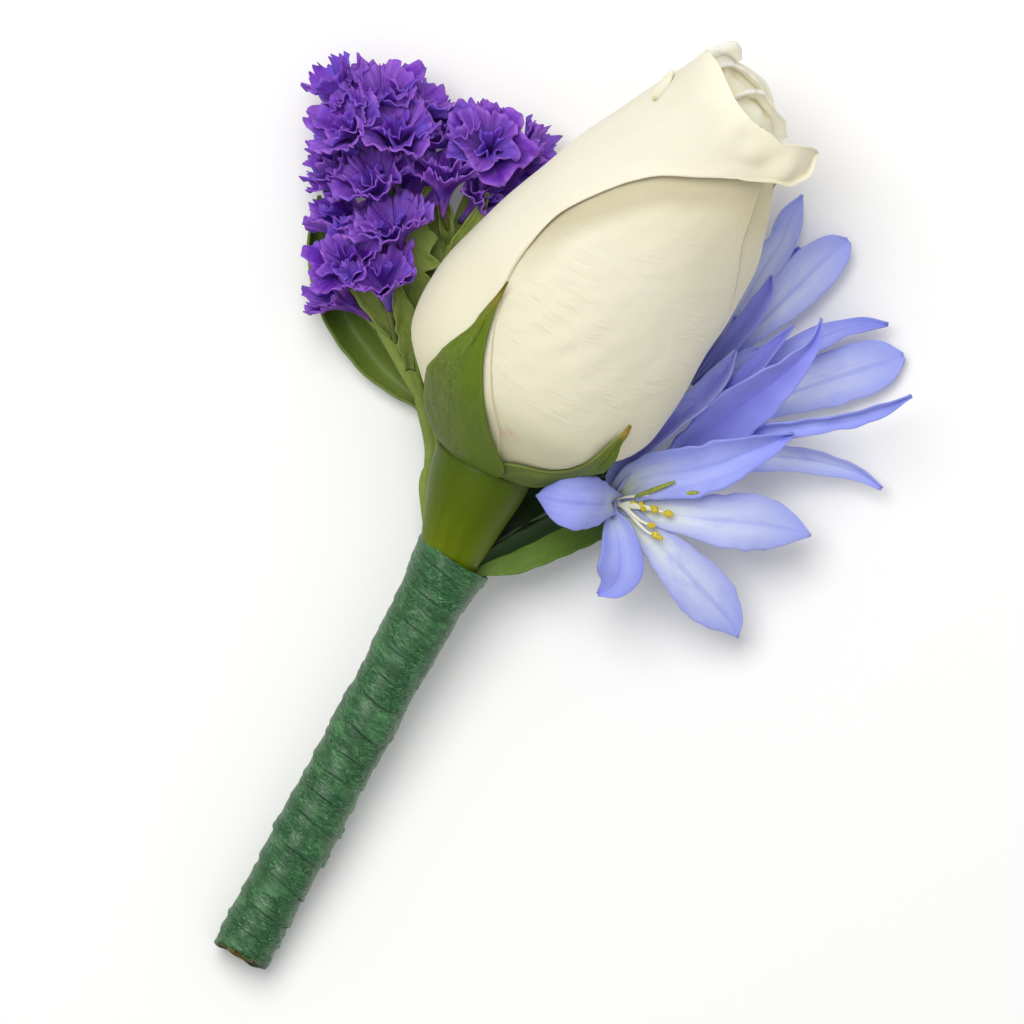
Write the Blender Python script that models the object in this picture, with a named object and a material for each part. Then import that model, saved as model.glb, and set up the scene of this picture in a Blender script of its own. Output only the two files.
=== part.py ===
"""Rose boutonniere lying on its back: one rose bud, three agapanthus florets, a spray of
statice and two leaves, bound into a handle with floral tape.

Everything is laid out in millimetres on a bench frame: +Y runs up the handle to the bloom,
+Z is up, and X = 0, Y = 0 is the middle of the handle's cut end.
"""

import math

import bpy
import numpy as np

MM = 0.001
CLEAR = 0.3  # gap kept between pieces that touch

# Handle: tape wound round the bundle of stems
HANDLE_LENGTH = 54.5
HANDLE_RISE = math.tan(math.radians(7.4))
CUT_END_HEIGHT = 3.6
TAPE_WALL = 0.35
TAPE_RADIUS = [(0, 3.52), (10, 3.65), (30, 3.7), (40, 3.85), (47, 4.2), (51, 4.75), (54.5, 5.05)]
TAPE_MOUTH_SLANT = 0.12  # the top edge runs further up on its left side
STEM_START = 0.8  # the stems are cut this far inside the tape's end

# Rose stem, which swells into the hip under the bud: radius by distance from the cut end
ROSE_STEM_RADIUS = [
    (0, 1.75), (20, 1.75), (38, 1.75), (43, 1.8), (49, 2.3), (54.8, 2.95), (57.2, 3.9),
    (60, 4.8), (63.5, 5.7), (65.2, 5.6),
]

# Bundle inside the tape: eight thin stems round the underside of the rose's stem
THIN_STEM = 0.45
THIN_STEM_SIDE_GAP = 0.25  # between two neighbours where they lie closest
THIN_STEM_BACK_GAP = 0.28  # between a thin stem and the rose's stem
THIN_STEM_ROWS = (STEM_START, 9, 18, 27, 35, 42, 48, 52, 55)
BUNDLE = [
    "statice_stem_left", "statice_stem_middle", "statice_stem_right", "leaf_left",
    "floret_back", "floret_middle", "floret_front", "leaf_right",
]
BUNDLE_MIDDLE = math.radians(-84)
BUNDLE_OFFSET = (-0.4, 1.1)  # where the rose's stem sits in the mouth of the tape

# Rose bud: round sections along a gently bending axis
BUD_BASE = np.array([-2.1, 66.3, 14.4])
BUD_RISE = math.radians(12)
BUD_BEND = math.radians(0.335)  # turn to the right for each millimetre of height
BUD_RADIUS = [
    (0, 5.6), (3, 8.8), (6, 12.2), (9, 15.3), (12, 16.5), (16, 16.8), (22, 16.1),
    (30, 14.4), (38, 12.5), (44, 10.8), (50, 9.4), (56, 8.9), (60, 8.3),
]
PETAL_WALL = 0.35
PETAL_STEP = 0.88  # one petal's wall and the gap under it
PETAL_HEIGHTS = (1.2, 3, 5.5, 8.5, 12, 17, 24, 33, 42, 45, 48, 51)  # rows below every rim
PETAL_SHARE_HEIGHT = 55  # height at which a side edge's share is 1
PETAL_TURN = 20  # widest angle between a petal's columns

# Agapanthus
TEPAL_WALL = 0.45
TEPAL_CUP = 0.15
TEPAL_ROOT = 0.5  # half width where it leaves the throat
LEAF_WALL = 0.45
THROAT_RADIUS = 1.9
PEDICEL = 0.8

# Statice
CALYX_WALL = 0.45
CALYX_RIM = 2.7
STATICE_STEM = 0.8
STEM_ROWS = 40


# ---------------------------------------------------------------- tools

def through(knots, x):
    """Height of the smooth curve that runs through the knots, at x."""
    xs, ys = np.array(knots, float).T
    slopes = np.gradient(ys, xs)
    x = np.clip(x, xs[0], xs[-1])
    i = np.clip(np.searchsorted(xs, x) - 1, 0, len(xs) - 2)
    width = xs[i + 1] - xs[i]
    t = (x - xs[i]) / width
    start = (1 + 2 * t) * (1 - t) ** 2 * ys[i] + t * (1 - t) ** 2 * width * slopes[i]
    end = t * t * (3 - 2 * t) * ys[i + 1] + t * t * (t - 1) * width * slopes[i + 1]
    return start + end


def route(points, count):
    """Evenly numbered places on the smooth curve through a list of points."""
    points = np.array(points, float)
    chords = np.linalg.norm(np.diff(points, axis=0), axis=1)
    along = np.concatenate([[0], np.cumsum(chords)])
    where = np.linspace(0, along[-1], count)
    axes = [through(np.column_stack([along, points[:, k]]), where) for k in range(3)]
    return np.column_stack(axes)


def unit(vector):
    return vector / np.linalg.norm(vector, axis=-1, keepdims=True)


def ease(x, start, end):
    t = np.clip((x - start) / (end - start), 0, 1)
    return t * t * (3 - 2 * t)


def linear(channel):
    channel /= 255
    return channel / 12.92 if channel <= 0.04045 else ((channel + 0.055) / 1.055) ** 2.4


def material(name, red, green, blue, roughness):
    made = bpy.data.materials.new(name)
    made.use_nodes = True
    colour = (linear(red), linear(green), linear(blue), 1)
    shader = made.node_tree.nodes["Principled BSDF"]
    shader.inputs["Base Color"].default_value = colour
    shader.inputs["Roughness"].default_value = roughness
    shader.inputs["Metallic"].default_value = 0
    made.diffuse_color = colour
    return made


def add_mesh(name, points, faces, finish):
    mesh = bpy.data.meshes.new(name)
    mesh.from_pydata((np.asarray(points) * MM).tolist(), [], faces)
    mesh.materials.append(finish)
    mesh.shade_smooth()
    mesh.set_sharp_from_angle(angle=math.radians(50))
    obj = bpy.data.objects.new(name, mesh)
    bpy.context.scene.collection.objects.link(obj)
    obj.parent = bench
    return obj


def add_sheet(name, grid, wall, side, finish):
    """A thin piece: rows run along it and columns across. Side is where the grid lies in
    the wall: 0 in the middle, -1 on the outer face."""
    rows, columns = grid.shape[:2]
    at = np.arange(rows * columns).reshape(rows, columns)
    faces = np.stack([at[:-1, :-1], at[:-1, 1:], at[1:, 1:], at[1:, :-1]], -1)
    obj = add_mesh(name, grid.reshape(-1, 3), faces.reshape(-1, 4).tolist(), finish)
    solid = obj.modifiers.new("wall", "SOLIDIFY")
    solid.thickness = wall * MM
    solid.offset = side
    return obj


def rings_along(path, radii, sides):
    """Rings of points square to a path, carried along it without twisting."""
    tangents = unit(np.gradient(path, axis=0))
    across = unit(np.cross(tangents[0], [0, 0, 1]))
    turn = np.linspace(0, 2 * math.pi, sides, endpoint=False)
    rings = []
    for centre, tangent, radius in zip(path, tangents, radii):
        across = unit(across - tangent * (across @ tangent))
        up = np.cross(across, tangent)
        circle = np.outer(np.cos(turn), across) + np.outer(np.sin(turn), up)
        rings.append(centre + radius * circle)
    return np.array(rings)


def bands(rings, sides, flip=False):
    """Quads between following rings of point numbers."""
    faces = []
    for low, high in zip(rings[:-1], rings[1:]):
        for k in range(sides):
            after = (k + 1) % sides
            face = [low[k], low[after], high[after], high[k]]
            faces.append(face[::-1] if flip else face)
    return faces


def add_tube(name, path, radii, sides, finish):
    """A solid round rod whose radius follows the path, closed by a cone at each end."""
    points = rings_along(path, radii, sides)
    at = np.arange(len(path) * sides).reshape(len(path), sides).tolist()
    faces = bands(at, sides, flip=True)
    foot, tip = len(path) * sides, len(path) * sides + 1
    for k in range(sides):
        after = (k + 1) % sides
        faces.append([foot, at[0][k], at[0][after]])
        faces.append([tip, at[-1][after], at[-1][k]])
    points = np.vstack([points.reshape(-1, 3), path[:1], path[-1:]])
    return add_mesh(name, points, faces, finish)


def add_cup(name, foot, mouth, rim, finish, sides=8):
    """A funnel with a thin wall, from its narrow foot to its open mouth."""
    length = np.linalg.norm(mouth - foot)
    outside = [(0, 0.55), (0.4, 0.7), (0.72, 0.55 * rim), (1, rim)]
    inside = [(1, rim - CALYX_WALL), (0.76, 0.55 * rim - CALYX_WALL)]
    profile = np.array(outside + inside)
    path = foot + np.outer(profile[:, 0], mouth - foot)
    axis = unit(mouth - foot)
    across = unit(np.cross(axis, [0.3, 0.2, 1]))
    up = np.cross(axis, across)
    turn = np.linspace(0, 2 * math.pi, sides, endpoint=False)
    circle = np.outer(np.cos(turn), across) + np.outer(np.sin(turn), up)
    rings = path[:, None] + profile[:, 1][:, None, None] * circle
    at = np.arange(len(profile) * sides).reshape(len(profile), sides).tolist()
    faces = bands(at, sides)
    bottom, hollow = len(profile) * sides, len(profile) * sides + 1
    for k in range(sides):
        after = (k + 1) % sides
        faces.append([bottom, at[0][after], at[0][k]])
        faces.append([hollow, at[-1][k], at[-1][after]])
    deep = foot + axis * length * 0.5
    points = np.vstack([rings.reshape(-1, 3), foot, deep])
    return add_mesh(name, points, faces, finish)


# ---------------------------------------------------------------- handle

def handle_axis(y):
    y = np.asarray(y, float)
    return np.stack([0 * y, y, CUT_END_HEIGHT + y * HANDLE_RISE], -1)


def rose_stem_radius(y):
    return through(ROSE_STEM_RADIUS, y)


def rose_stem_axis(y):
    """Up the handle, then off its middle at the mouth, then on to the bud's base."""
    y = np.asarray(y, float)
    shift = ease(y, 40, HANDLE_LENGTH)
    inside = handle_axis(y) + np.stack([shift * BUNDLE_OFFSET[0], 0 * y, shift * BUNDLE_OFFSET[1]], -1)
    mouth = handle_axis(HANDLE_LENGTH) + [BUNDLE_OFFSET[0], 0, BUNDLE_OFFSET[1]]
    beyond = ((y - HANDLE_LENGTH) / (BUD_BASE[1] - HANDLE_LENGTH))[..., None]
    outside = mouth + beyond * (BUD_BASE - mouth)
    return np.where(y[..., None] > HANDLE_LENGTH, outside, inside)


def bundle_point(name, y):
    """Where a thin stem runs, against the rose's stem and beside its neighbours."""
    place = BUNDLE.index(name) - (len(BUNDLE) - 1) / 2
    ring = rose_stem_radius(y) + THIN_STEM_BACK_GAP + THIN_STEM
    spread = 2 * math.pi / len(BUNDLE)
    close = (2 * THIN_STEM + THIN_STEM_SIDE_GAP) / ring
    step = spread + (close - spread) * ease(y, 0, 42)
    angle = BUNDLE_MIDDLE + place * step
    return rose_stem_axis(y) + ring * np.array([math.cos(angle), 0, math.sin(angle)])


def from_bundle(name, outside):
    """Route of a thin stem: along the handle, then through the points outside it."""
    inside = [bundle_point(name, y) for y in THIN_STEM_ROWS]
    return np.array(inside + [np.array(place, float) for place in outside])


def make_tape():
    """A sleeve, a little wider at its slanted mouth."""
    sides, stations = 20, np.array([0, 5, 12, 20, 28, 36, 42, 46, 50, 53, 54.6])
    turn = np.linspace(0, 2 * math.pi, sides, endpoint=False)
    rise = math.atan(HANDLE_RISE)
    across = np.array([1, 0, 0])
    up = np.array([0, -math.sin(rise), math.cos(rise)])
    circle = np.outer(np.cos(turn), across) + np.outer(np.sin(turn), up)
    walls = []
    for thinner in (0, TAPE_WALL):
        rings = []
        for y in stations:
            radius = through(TAPE_RADIUS, y) - thinner
            slant = -TAPE_MOUTH_SLANT * ease(y, 44, HANDLE_LENGTH) * circle[:, :1] * radius
            rings.append(handle_axis(y) + radius * circle + slant * [0, 1, 0])
        walls.append(np.array(rings))
    count = len(stations) * sides
    outer = np.arange(count).reshape(-1, sides).tolist()
    inner = (np.arange(count) + count).reshape(-1, sides).tolist()
    faces = bands(outer, sides, flip=True) + bands(inner, sides)
    faces += bands([inner[0], outer[0]], sides, flip=True) + bands([outer[-1], inner[-1]], sides, flip=True)
    points = np.concatenate(walls).reshape(-1, 3)
    add_mesh("floral_tape", points, faces, tape_green)


def make_rose_stem():
    stations = np.array([STEM_START, 22, 40, 44, 47, 49.5, 52, 54, 55.5, 57.2, 59, 61, 63.5, 65.2])
    radii = rose_stem_radius(stations)
    add_tube("rose_stem", rose_stem_axis(stations), radii, 16, hip_green)


# ---------------------------------------------------------------- rose

def bud_point(angle, height, radius):
    """A place round the bud: angle 0 faces up, and a positive angle is to the right."""
    front = np.array([0, -math.sin(BUD_RISE), math.cos(BUD_RISE)])
    along = np.array([0, math.cos(BUD_RISE), math.sin(BUD_RISE)])
    right = np.array([1, 0, 0])
    height, angle = np.asarray(height)[..., None], np.radians(angle)[..., None]
    bend = BUD_BEND * height
    centre = BUD_BASE + (1 - np.cos(bend)) / BUD_BEND * right + np.sin(bend) / BUD_BEND * along
    side = np.cos(bend) * right - np.sin(bend) * along
    radius = np.asarray(radius)[..., None]
    return centre + radius * (np.sin(angle) * side + np.cos(angle) * front)


def make_petal(name, layer, left, right, rim, first_row=0):
    """A petal wrapped round the bud. Left and right give its side edges as angle by share
    of the height, and rim gives the height of its free edge by angle."""
    rows = np.array(PETAL_HEIGHTS[first_row:])
    share = np.append(rows / PETAL_SHARE_HEIGHT, 1)[:, None]
    widest = max(angle for _, angle in right) - min(angle for _, angle in left)
    s = np.linspace(0, 1, math.ceil(widest / PETAL_TURN) + 1)[None, :]
    angle = through(left, share) * (1 - s) + through(right, share) * s
    height = np.append(rows, 0)[:, None] + 0 * s
    height[-1] = through(rim, angle[-1])
    radius = through(BUD_RADIUS, height) - layer * PETAL_STEP
    add_sheet(name, bud_point(angle, height, radius), PETAL_WALL, -1, rose_cream)


def make_rose_petals():
    outer_right = [(0, 14), (0.1, 4), (0.2, -11), (0.3, -22), (0.4, -33), (0.52, -39),
                   (0.64, -35), (0.74, -22), (0.84, 2), (0.9, 28), (0.94, 52), (1, 72)]
    make_petal("petal_outer_left", 0, [(0, -188), (1, -170)], outer_right,
               [(-190, 52.6), (-100, 53), (-60, 55.5), (0, 54.8), (50, 54.4), (72, 53.4)])
    make_petal("petal_outer_front", 1.2, [(0, -10), (0.3, -45), (0.6, -60), (1, -40)],
               [(0, 60), (0.25, 68), (0.8, 70), (1, 55)],
               [(-60, 52), (72, 52)])
    make_petal("petal_outer_right", 2.1, [(0, 45), (1, 35)], [(0, 118), (1, 112)],
               [(35, 53), (120, 52.4)])
    make_petal("petal_outer_back", 1, [(0, 110), (1, 104)], [(0, 205), (1, 215)],
               [(100, 52.2), (150, 53), (215, 52)])
    make_petal("petal_outer_under", 2, [(0, 125), (1, 120)], [(0, 330), (1, 310)],
               [(120, 52.2), (220, 53), (330, 52.2)])
    make_petal("petal_inner_left", 3, [(0, -150), (1, -140)], [(0, 40), (1, 30)],
               [(-150, 54), (-60, 57.5), (40, 56)], first_row=1)
    make_petal("petal_inner_right", 3, [(0, 48), (1, 38)], [(0, 202), (1, 212)],
               [(38, 56), (120, 55), (212, 54)], first_row=1)
    make_petal("petal_inner_front", 4, [(0, -50), (1, -50)], [(0, 125), (1, 125)],
               [(-50, 58.5), (0, 58.4), (60, 56.5), (125, 56)], first_row=1)
    make_petal("petal_inner_back", 4, [(0, 133), (1, 133)], [(0, 302), (1, 302)],
               [(133, 55), (220, 57), (302, 58.5)], first_row=1)


def make_rose_heart():
    heights = np.array(PETAL_HEIGHTS[1:] + (56,))
    radii = through(BUD_RADIUS, heights) - 5 * PETAL_STEP - CLEAR
    radii[-1] = 2.5
    path = bud_point(np.zeros(len(heights)), heights, np.zeros(len(heights)))
    add_tube("rose_heart", path, radii, 20, rose_cream)


def make_sepal(name, left, right, heights, lift=0.0):
    """A sepal that hugs the bud: side edges by share of its length, and how far its middle
    part stands off the petals."""
    t = np.linspace(0, 1, 8)[:, None]
    s = np.linspace(0, 1, 5)[None, :]
    angle = through(left, t) * (1 - s) + through(right, t) * s
    height = heights[0] + t * (heights[1] - heights[0]) + 0 * s
    hug = [(-1.5, 6.6), (0, 7.2), (3, 10.0)] + [(h, r + 1.1) for h, r in BUD_RADIUS[2:]]
    radius = through(hug, height) + lift * np.sin(math.pi * t ** 0.8)
    add_sheet(name, bud_point(angle, height, radius), PETAL_WALL, -1, sepal_green)


def make_sepals():
    make_sepal("sepal_front", [(0, -52), (0.25, -50), (0.45, -43), (0.6, -37), (0.8, -33.5), (1, -33)],
               [(0, 22), (0.25, 6), (0.45, -8), (0.6, -17), (0.8, -26), (1, -31)], (-1.5, 21.5))
    make_sepal("sepal_right", [(0, 27), (0.3, 32), (0.7, 42), (1, 49)],
               [(0, 76), (0.3, 66), (0.7, 58), (1, 52)], (-1.5, 14.5), lift=2.4)
    make_sepal("sepal_lower_right", [(0, 88), (0.5, 100), (1, 112)],
               [(0, 140), (0.5, 132), (1, 116)], (-1.5, 12))
    make_sepal("sepal_under", [(0, 152), (0.5, 162), (1, 178)],
               [(0, 208), (0.5, 198), (1, 182)], (-1.5, 9.5))
    make_sepal("sepal_lower_left", [(0, 222), (0.5, 230), (1, 246)],
               [(0, 280), (0.5, 268), (1, 250)], (-1.5, 13))


# ---------------------------------------------------------------- leaves, florets

def ribbon(path, half_width, facing, cup=0.0, columns=3):
    """Points of a strip along a path, whose face looks along facing, with its edges raised
    by cup times its half width."""
    tangents = unit(np.gradient(path, axis=0))
    across = unit(np.cross(tangents, np.asarray(facing, float)))
    normal = np.cross(across, tangents)
    s = np.linspace(-1, 1, columns)[None, :, None]
    half = np.asarray(half_width)[:, None, None]
    return path[:, None] + s * half * across[:, None] + s * s * cup * half * normal[:, None]


def make_leaves():
    path = route(from_bundle("leaf_left", [(-1.7, 58.5, 6.0), (-5.0, 62.8, 3.4), (-10.5, 67.4, 1.7),
                                           (-19, 71.4, 1.3), (-27, 76.4, 1.2), (-34.5, 84.2, 1.5)]), 26)
    share = np.linspace(0, 1, 26)
    outline = [(0, 0.36), (0.56, 0.36), (0.65, 1.2), (0.78, 3.9), (0.86, 4.4), (0.94, 3.0), (1, 0.5)]
    half = through(outline, share)
    add_sheet("leaf_left", ribbon(path, half, (0, 0, 1), 0.1, 5), LEAF_WALL, 0, leaf_green)

    path = route(from_bundle("leaf_right", [(5.4, 57.8, 9.4), (9.0, 60.6, 7.0), (13, 63.6, 4.6),
                                            (17.5, 67, 3.0), (21.5, 70, 2.0)]), 36)
    share = np.linspace(0, 1, 36)
    outline = [(0, 0.36), (0.68, 0.36), (0.75, 1.1), (0.83, 2.8), (0.9, 3.2), (0.96, 2.2), (1, 0.5)]
    half = through(outline, share)
    add_sheet("leaf_right", ribbon(path, half, (0.2, 0, 1), 0.15, 5), LEAF_WALL, 0, leaf_green)


def make_floret(place, outside, throat, axis, tepals):
    """One agapanthus floret: its stalk widens into the throat, and six tepals leave the
    throat's rim. Each tepal has a turn round the axis, a tip, a bulge and a width."""
    axis = unit(np.array(axis, float))
    throat = np.array(throat, float)
    path = route(from_bundle("floret_" + place, outside + [throat - 5 * axis, throat]), 26)
    share = np.linspace(0, 1, 26)
    outline = [(0, THIN_STEM), (0.68, THIN_STEM), (0.76, PEDICEL), (0.9, 0.95), (1, THROAT_RADIUS)]
    radii = through(outline, share)
    add_tube("floret_%s_tube" % place, path, radii, 6, tepal_blue)
    across = unit(np.cross(axis, [0, 0, 1]))
    up = np.cross(across, axis)
    for number, (turn, tip, bulge, half) in enumerate(tepals, 1):
        out = math.cos(math.radians(turn)) * across + math.sin(math.radians(turn)) * up
        root = throat + (CLEAR + 0.2) * axis + (THROAT_RADIUS - 0.35) * out
        tip = np.array(tip, float)
        reach = np.linalg.norm(tip - root)
        first = root + reach * 0.35 * unit(axis + 0.45 * out)
        second = tip - reach * 0.3 * unit(tip - root) + np.array([0, 0, bulge])
        t = np.linspace(0, 1, 7)[:, None]
        curve = (root * (1 - t) ** 3 + 3 * first * t * (1 - t) ** 2
                 + 3 * second * t * t * (1 - t) + tip * t ** 3)
        outline = [(0, TEPAL_ROOT), (0.35, 0.7 * half), (0.62, half), (0.85, 0.72 * half), (1, 0.15 * half)]
        widths = through(outline, t[:, 0])
        chord = curve[-1] - curve[0]
        inner_face = unit(np.cross(np.cross(chord, -out), chord))
        upward = math.copysign(1, inner_face[2])
        facing = unit(upward * inner_face + [0, 0, 0.8])
        name = "floret_%s_tepal_%d" % (place, number)
        add_sheet(name, ribbon(curve, widths, facing, TEPAL_CUP * upward), TEPAL_WALL, 0, tepal_blue)


def make_florets():
    make_floret("front", [(4.4, 59.3, 7.6), (7.2, 63.8, 7.2)], (13.4, 69.0, 12.0), (0.5, 0.3, 0.8), [
        (92, (5.6, 65.2, 14.5), 3.0, 3.0),
        (28, (17.6, 58.5, 11.0), 3.5, 2.5),
        (330, (34.7, 62.1, 5.0), 1.5, 3.0),
        (270, (36.5, 76.1, 7.5), 1.0, 3.0),
        (215, (28.5, 86.4, 13.0), 1.0, 2.4),
        (158, (18.3, 91.9, 10.5), -1.0, 2.2),
    ])
    make_floret("middle", [(2.4, 60, 6.0), (6.2, 67.0, 3.5)], (18.9, 78.9, 6.3), (0.6, 0.78, 0.12), [
        (-10, (41.6, 86.1, 3.0), 0.5, 1.8),
        (50, (38.8, 97.7, 11.0), 1.0, 1.8),
        (110, (25.2, 100.2, 15.0), 1.0, 2.2),
        (170, (22.9, 98.1, 9.5), 0.5, 2.0),
        (230, (32.6, 103.5, 3.0), 0.0, 1.8),
        (290, (35.9, 101.3, 1.0), 0.0, 2.4),
    ])
    make_floret("back", [(0.9, 60.5, 4.8), (3.8, 69.0, 2.2), (8.5, 77.0, 2.1)], (15.6, 84.6, 4.2),
                (0.25, 0.95, 0.16), [
        (200, (16.3, 112.6, 3.6), 0.0, 1.8),
        (-30, (23.5, 110.2, 2.6), 0.0, 2.0),
        (255, (19.0, 106.7, 1.2), 0.0, 1.8),
        (85, (18.1, 101.8, 10.0), 1.5, 1.5),
        (145, (14.4, 95.6, 6.2), 0.6, 1.3),
        (32, (20.8, 94.0, 5.4), 0.5, 1.4),
    ])


# ---------------------------------------------------------------- statice

def make_statice():
    routes = {
        "left": [(-6.3, 60.0, 8.8), (-9.6, 65.0, 6.8), (-13, 69.4, 5.8), (-17.8, 73, 5.6),
                 (-24, 76.6, 5.8), (-27.5, 79.5, 6.2)],
        "middle": [(-4.6, 60.3, 7.2), (-7.8, 66.0, 5.2), (-12.6, 71.6, 4.6), (-18.7, 79.2, 5.0),
                   (-24.5, 86.8, 5.8), (-29.5, 92, 6.6), (-33, 96, 7.2)],
        "right": [(-3.0, 60.8, 5.9), (-6.0, 67.0, 4.0), (-11.6, 73.4, 3.5), (-15.8, 80.5, 4.2),
                  (-18, 87.5, 5.6), (-19, 93, 6.4), (-18.6, 98, 7.0)],
    }
    stems = {}
    for side, outside in routes.items():
        name = "statice_stem_" + side
        path = route(from_bundle(name, outside), STEM_ROWS)
        share = np.linspace(0, 1, STEM_ROWS)
        radii = through([(0, THIN_STEM), (0.55, THIN_STEM), (0.66, STATICE_STEM), (1, 0.6)], share)
        add_tube(name, path, radii, 6, stem_green)
        stems[side] = path

    calyces = [
        ("middle", 1.0, (-39.5, 98.3, 8.5)), ("middle", 0.98, (-35.2, 101.2, 11.5)),
        ("middle", 0.95, (-30.0, 102.5, 9.0)), ("middle", 0.94, (-36.8, 94.0, 14.0)),
        ("middle", 0.90, (-30.8, 96.9, 15.0)), ("middle", 0.88, (-36.7, 88.9, 8.0)),
        ("middle", 0.84, (-31.3, 90.1, 13.0)), ("middle", 0.77, (-26.0, 86.2, 13.6)),
        ("right", 0.96, (-24.8, 100.7, 10.0)), ("right", 0.90, (-23.4, 94.2, 13.0)),
        ("right", 1.0, (-19.5, 100.6, 14.5)), ("right", 0.92, (-16.4, 95.4, 10.3)),
        ("right", 0.97, (-13.2, 102.4, 8.5)),
        ("left", 1.0, (-32.0, 83.4, 8.3)), ("left", 0.96, (-29.9, 79.2, 13.5)),
        ("left", 0.88, (-23.6, 80.2, 14.0)), ("left", 0.90, (-29.0, 73.6, 7.5)),
    ]
    for number, (side, share, mouth) in enumerate(calyces, 1):
        path, mouth = stems[side], np.array(mouth)
        row = min(round(share * (len(path) - 1)), len(path) - 2)
        start, along = path[row], unit(path[row + 1] - path[row])
        start = start + (share == 1) * (path[-1] - start)
        lean = mouth - start - along * ((mouth - start) @ along)
        foot = start + (STATICE_STEM + CLEAR + CALYX_WALL) * unit(lean)
        add_cup("statice_flower_%02d" % number, foot, mouth, CALYX_RIM, statice_violet)


def stand_on_origin():
    """Puts the origin under the middle of the whole object, on the surface it lies on."""
    bpy.context.view_layer.update()
    graph = bpy.context.evaluated_depsgraph_get()
    corners = []
    for obj in bench.children:
        corners += [obj.matrix_world @ vertex.co for vertex in obj.evaluated_get(graph).data.vertices]
    corners = np.array(corners)
    low, high = corners.min(axis=0), corners.max(axis=0)
    bench.location = (-(low[0] + high[0]) / 2, -(low[1] + high[1]) / 2, -low[2])


for old in list(bpy.data.objects):
    bpy.data.objects.remove(old, do_unlink=True)

bench = bpy.data.objects.new("bench", None)
bpy.context.scene.collection.objects.link(bench)

tape_green = material("floral_tape", 69, 113, 70, 0.55)
hip_green = material("hip", 100, 116, 40, 0.5)
rose_cream = material("rose_petal", 244, 239, 218, 0.6)
sepal_green = material("sepal", 105, 117, 50, 0.6)
leaf_green = material("leaf", 70, 90, 50, 0.5)
stem_green = material("stem", 104, 120, 46, 0.6)
tepal_blue = material("agapanthus", 165, 176, 230, 0.55)
statice_violet = material("statice", 100, 54, 165, 0.7)

make_tape()
make_rose_stem()
make_rose_petals()
make_rose_heart()
make_sepals()
make_leaves()
make_florets()
make_statice()
stand_on_origin()
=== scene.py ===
import math

import bpy
import mathutils
import numpy as np
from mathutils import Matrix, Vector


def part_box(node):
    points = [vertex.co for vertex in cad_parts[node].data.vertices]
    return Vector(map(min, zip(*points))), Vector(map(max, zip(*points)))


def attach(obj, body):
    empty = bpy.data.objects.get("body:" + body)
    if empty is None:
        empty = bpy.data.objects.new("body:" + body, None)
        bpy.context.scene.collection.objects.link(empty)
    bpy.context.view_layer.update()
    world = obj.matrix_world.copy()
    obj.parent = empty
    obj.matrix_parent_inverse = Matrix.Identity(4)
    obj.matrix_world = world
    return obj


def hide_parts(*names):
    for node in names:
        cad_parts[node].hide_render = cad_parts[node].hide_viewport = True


# Boutonniere: an ivory rosebud with agapanthus, statice and leaves, bound in green floral tape.
# Shapes are in millimetres on a bench frame: Y runs up the handle from its cut end, Z is up,
# and X = 0 is the middle of the handle. toRow() puts them in the frame's own metres.

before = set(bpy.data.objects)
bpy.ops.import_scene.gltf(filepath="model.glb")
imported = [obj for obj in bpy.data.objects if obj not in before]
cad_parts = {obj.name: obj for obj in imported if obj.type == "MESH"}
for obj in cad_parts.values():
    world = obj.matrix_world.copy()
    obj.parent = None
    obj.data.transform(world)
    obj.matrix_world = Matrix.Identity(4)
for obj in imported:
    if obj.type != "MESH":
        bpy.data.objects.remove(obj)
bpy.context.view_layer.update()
mm = 0.001
patternStep = 3.7    # millimetres between the patterns of one seed and of the next

handle = dict(
    length=54.5,
    rise=math.tan(math.radians(7.4)),
    endHeight=3.6,       # how high the middle of the cut end lies
    endRadius=3.52,
)
tapeLow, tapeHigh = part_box("floral_tape")
lean = math.atan(handle["rise"])
origin = np.array([
    (tapeLow.x + tapeHigh.x) / 2,
    tapeLow.y + handle["endRadius"] * math.sin(lean) * mm,
    tapeLow.z - (handle["endHeight"] - handle["endRadius"] * math.cos(lean)) * mm,
])


# places on the bench frame, in millimetres, as places in the frame's metres
def toRow(points):
    return np.asarray(points, float) * mm + origin


# a smooth line through knots (x, y): cubic pieces whose slope at a knot is its neighbours' mean slope
def curve(knots, x):
    xs, ys = np.array(knots, float).T
    slopes = np.gradient(ys, xs)
    x = np.clip(x, xs[0], xs[-1])
    i = np.clip(np.searchsorted(xs, x) - 1, 0, len(xs) - 2)
    width = xs[i + 1] - xs[i]
    t = (x - xs[i]) / width
    start = (1 + 2 * t) * (1 - t) ** 2 * ys[i] + t * (1 - t) ** 2 * width * slopes[i]
    end = t * t * (3 - 2 * t) * ys[i + 1] + t * t * (t - 1) * width * slopes[i + 1]
    return start + end


# evenly spaced places on the smooth line through points, its parameter the length of the chords.
# A point may hold more than its three coordinates, and the rest is carried along
def route(points, count):
    points = np.array(points, float)
    along = np.concatenate([[0], np.cumsum(np.linalg.norm(np.diff(points[:, :3], axis=0), axis=1))])
    where = np.linspace(0, along[-1], count)
    return np.column_stack([curve(np.column_stack([along, axis]), where) for axis in points.T])


# vectors of length 1: each divided by its own length
def unit(vector):
    return vector / np.maximum(np.linalg.norm(vector, axis=-1, keepdims=True), 1e-9)


# 0 before start and 1 after end, with a smooth step between
def ease(x, start, end):
    t = np.clip((np.asarray(x, float) - start) / (end - start), 0, 1)
    return t * t * (3 - 2 * t)


# a bell of height 1 at centre that fades within about width
def bell(x, centre, width):
    return np.exp(-((x - centre) / width) ** 2)


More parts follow.
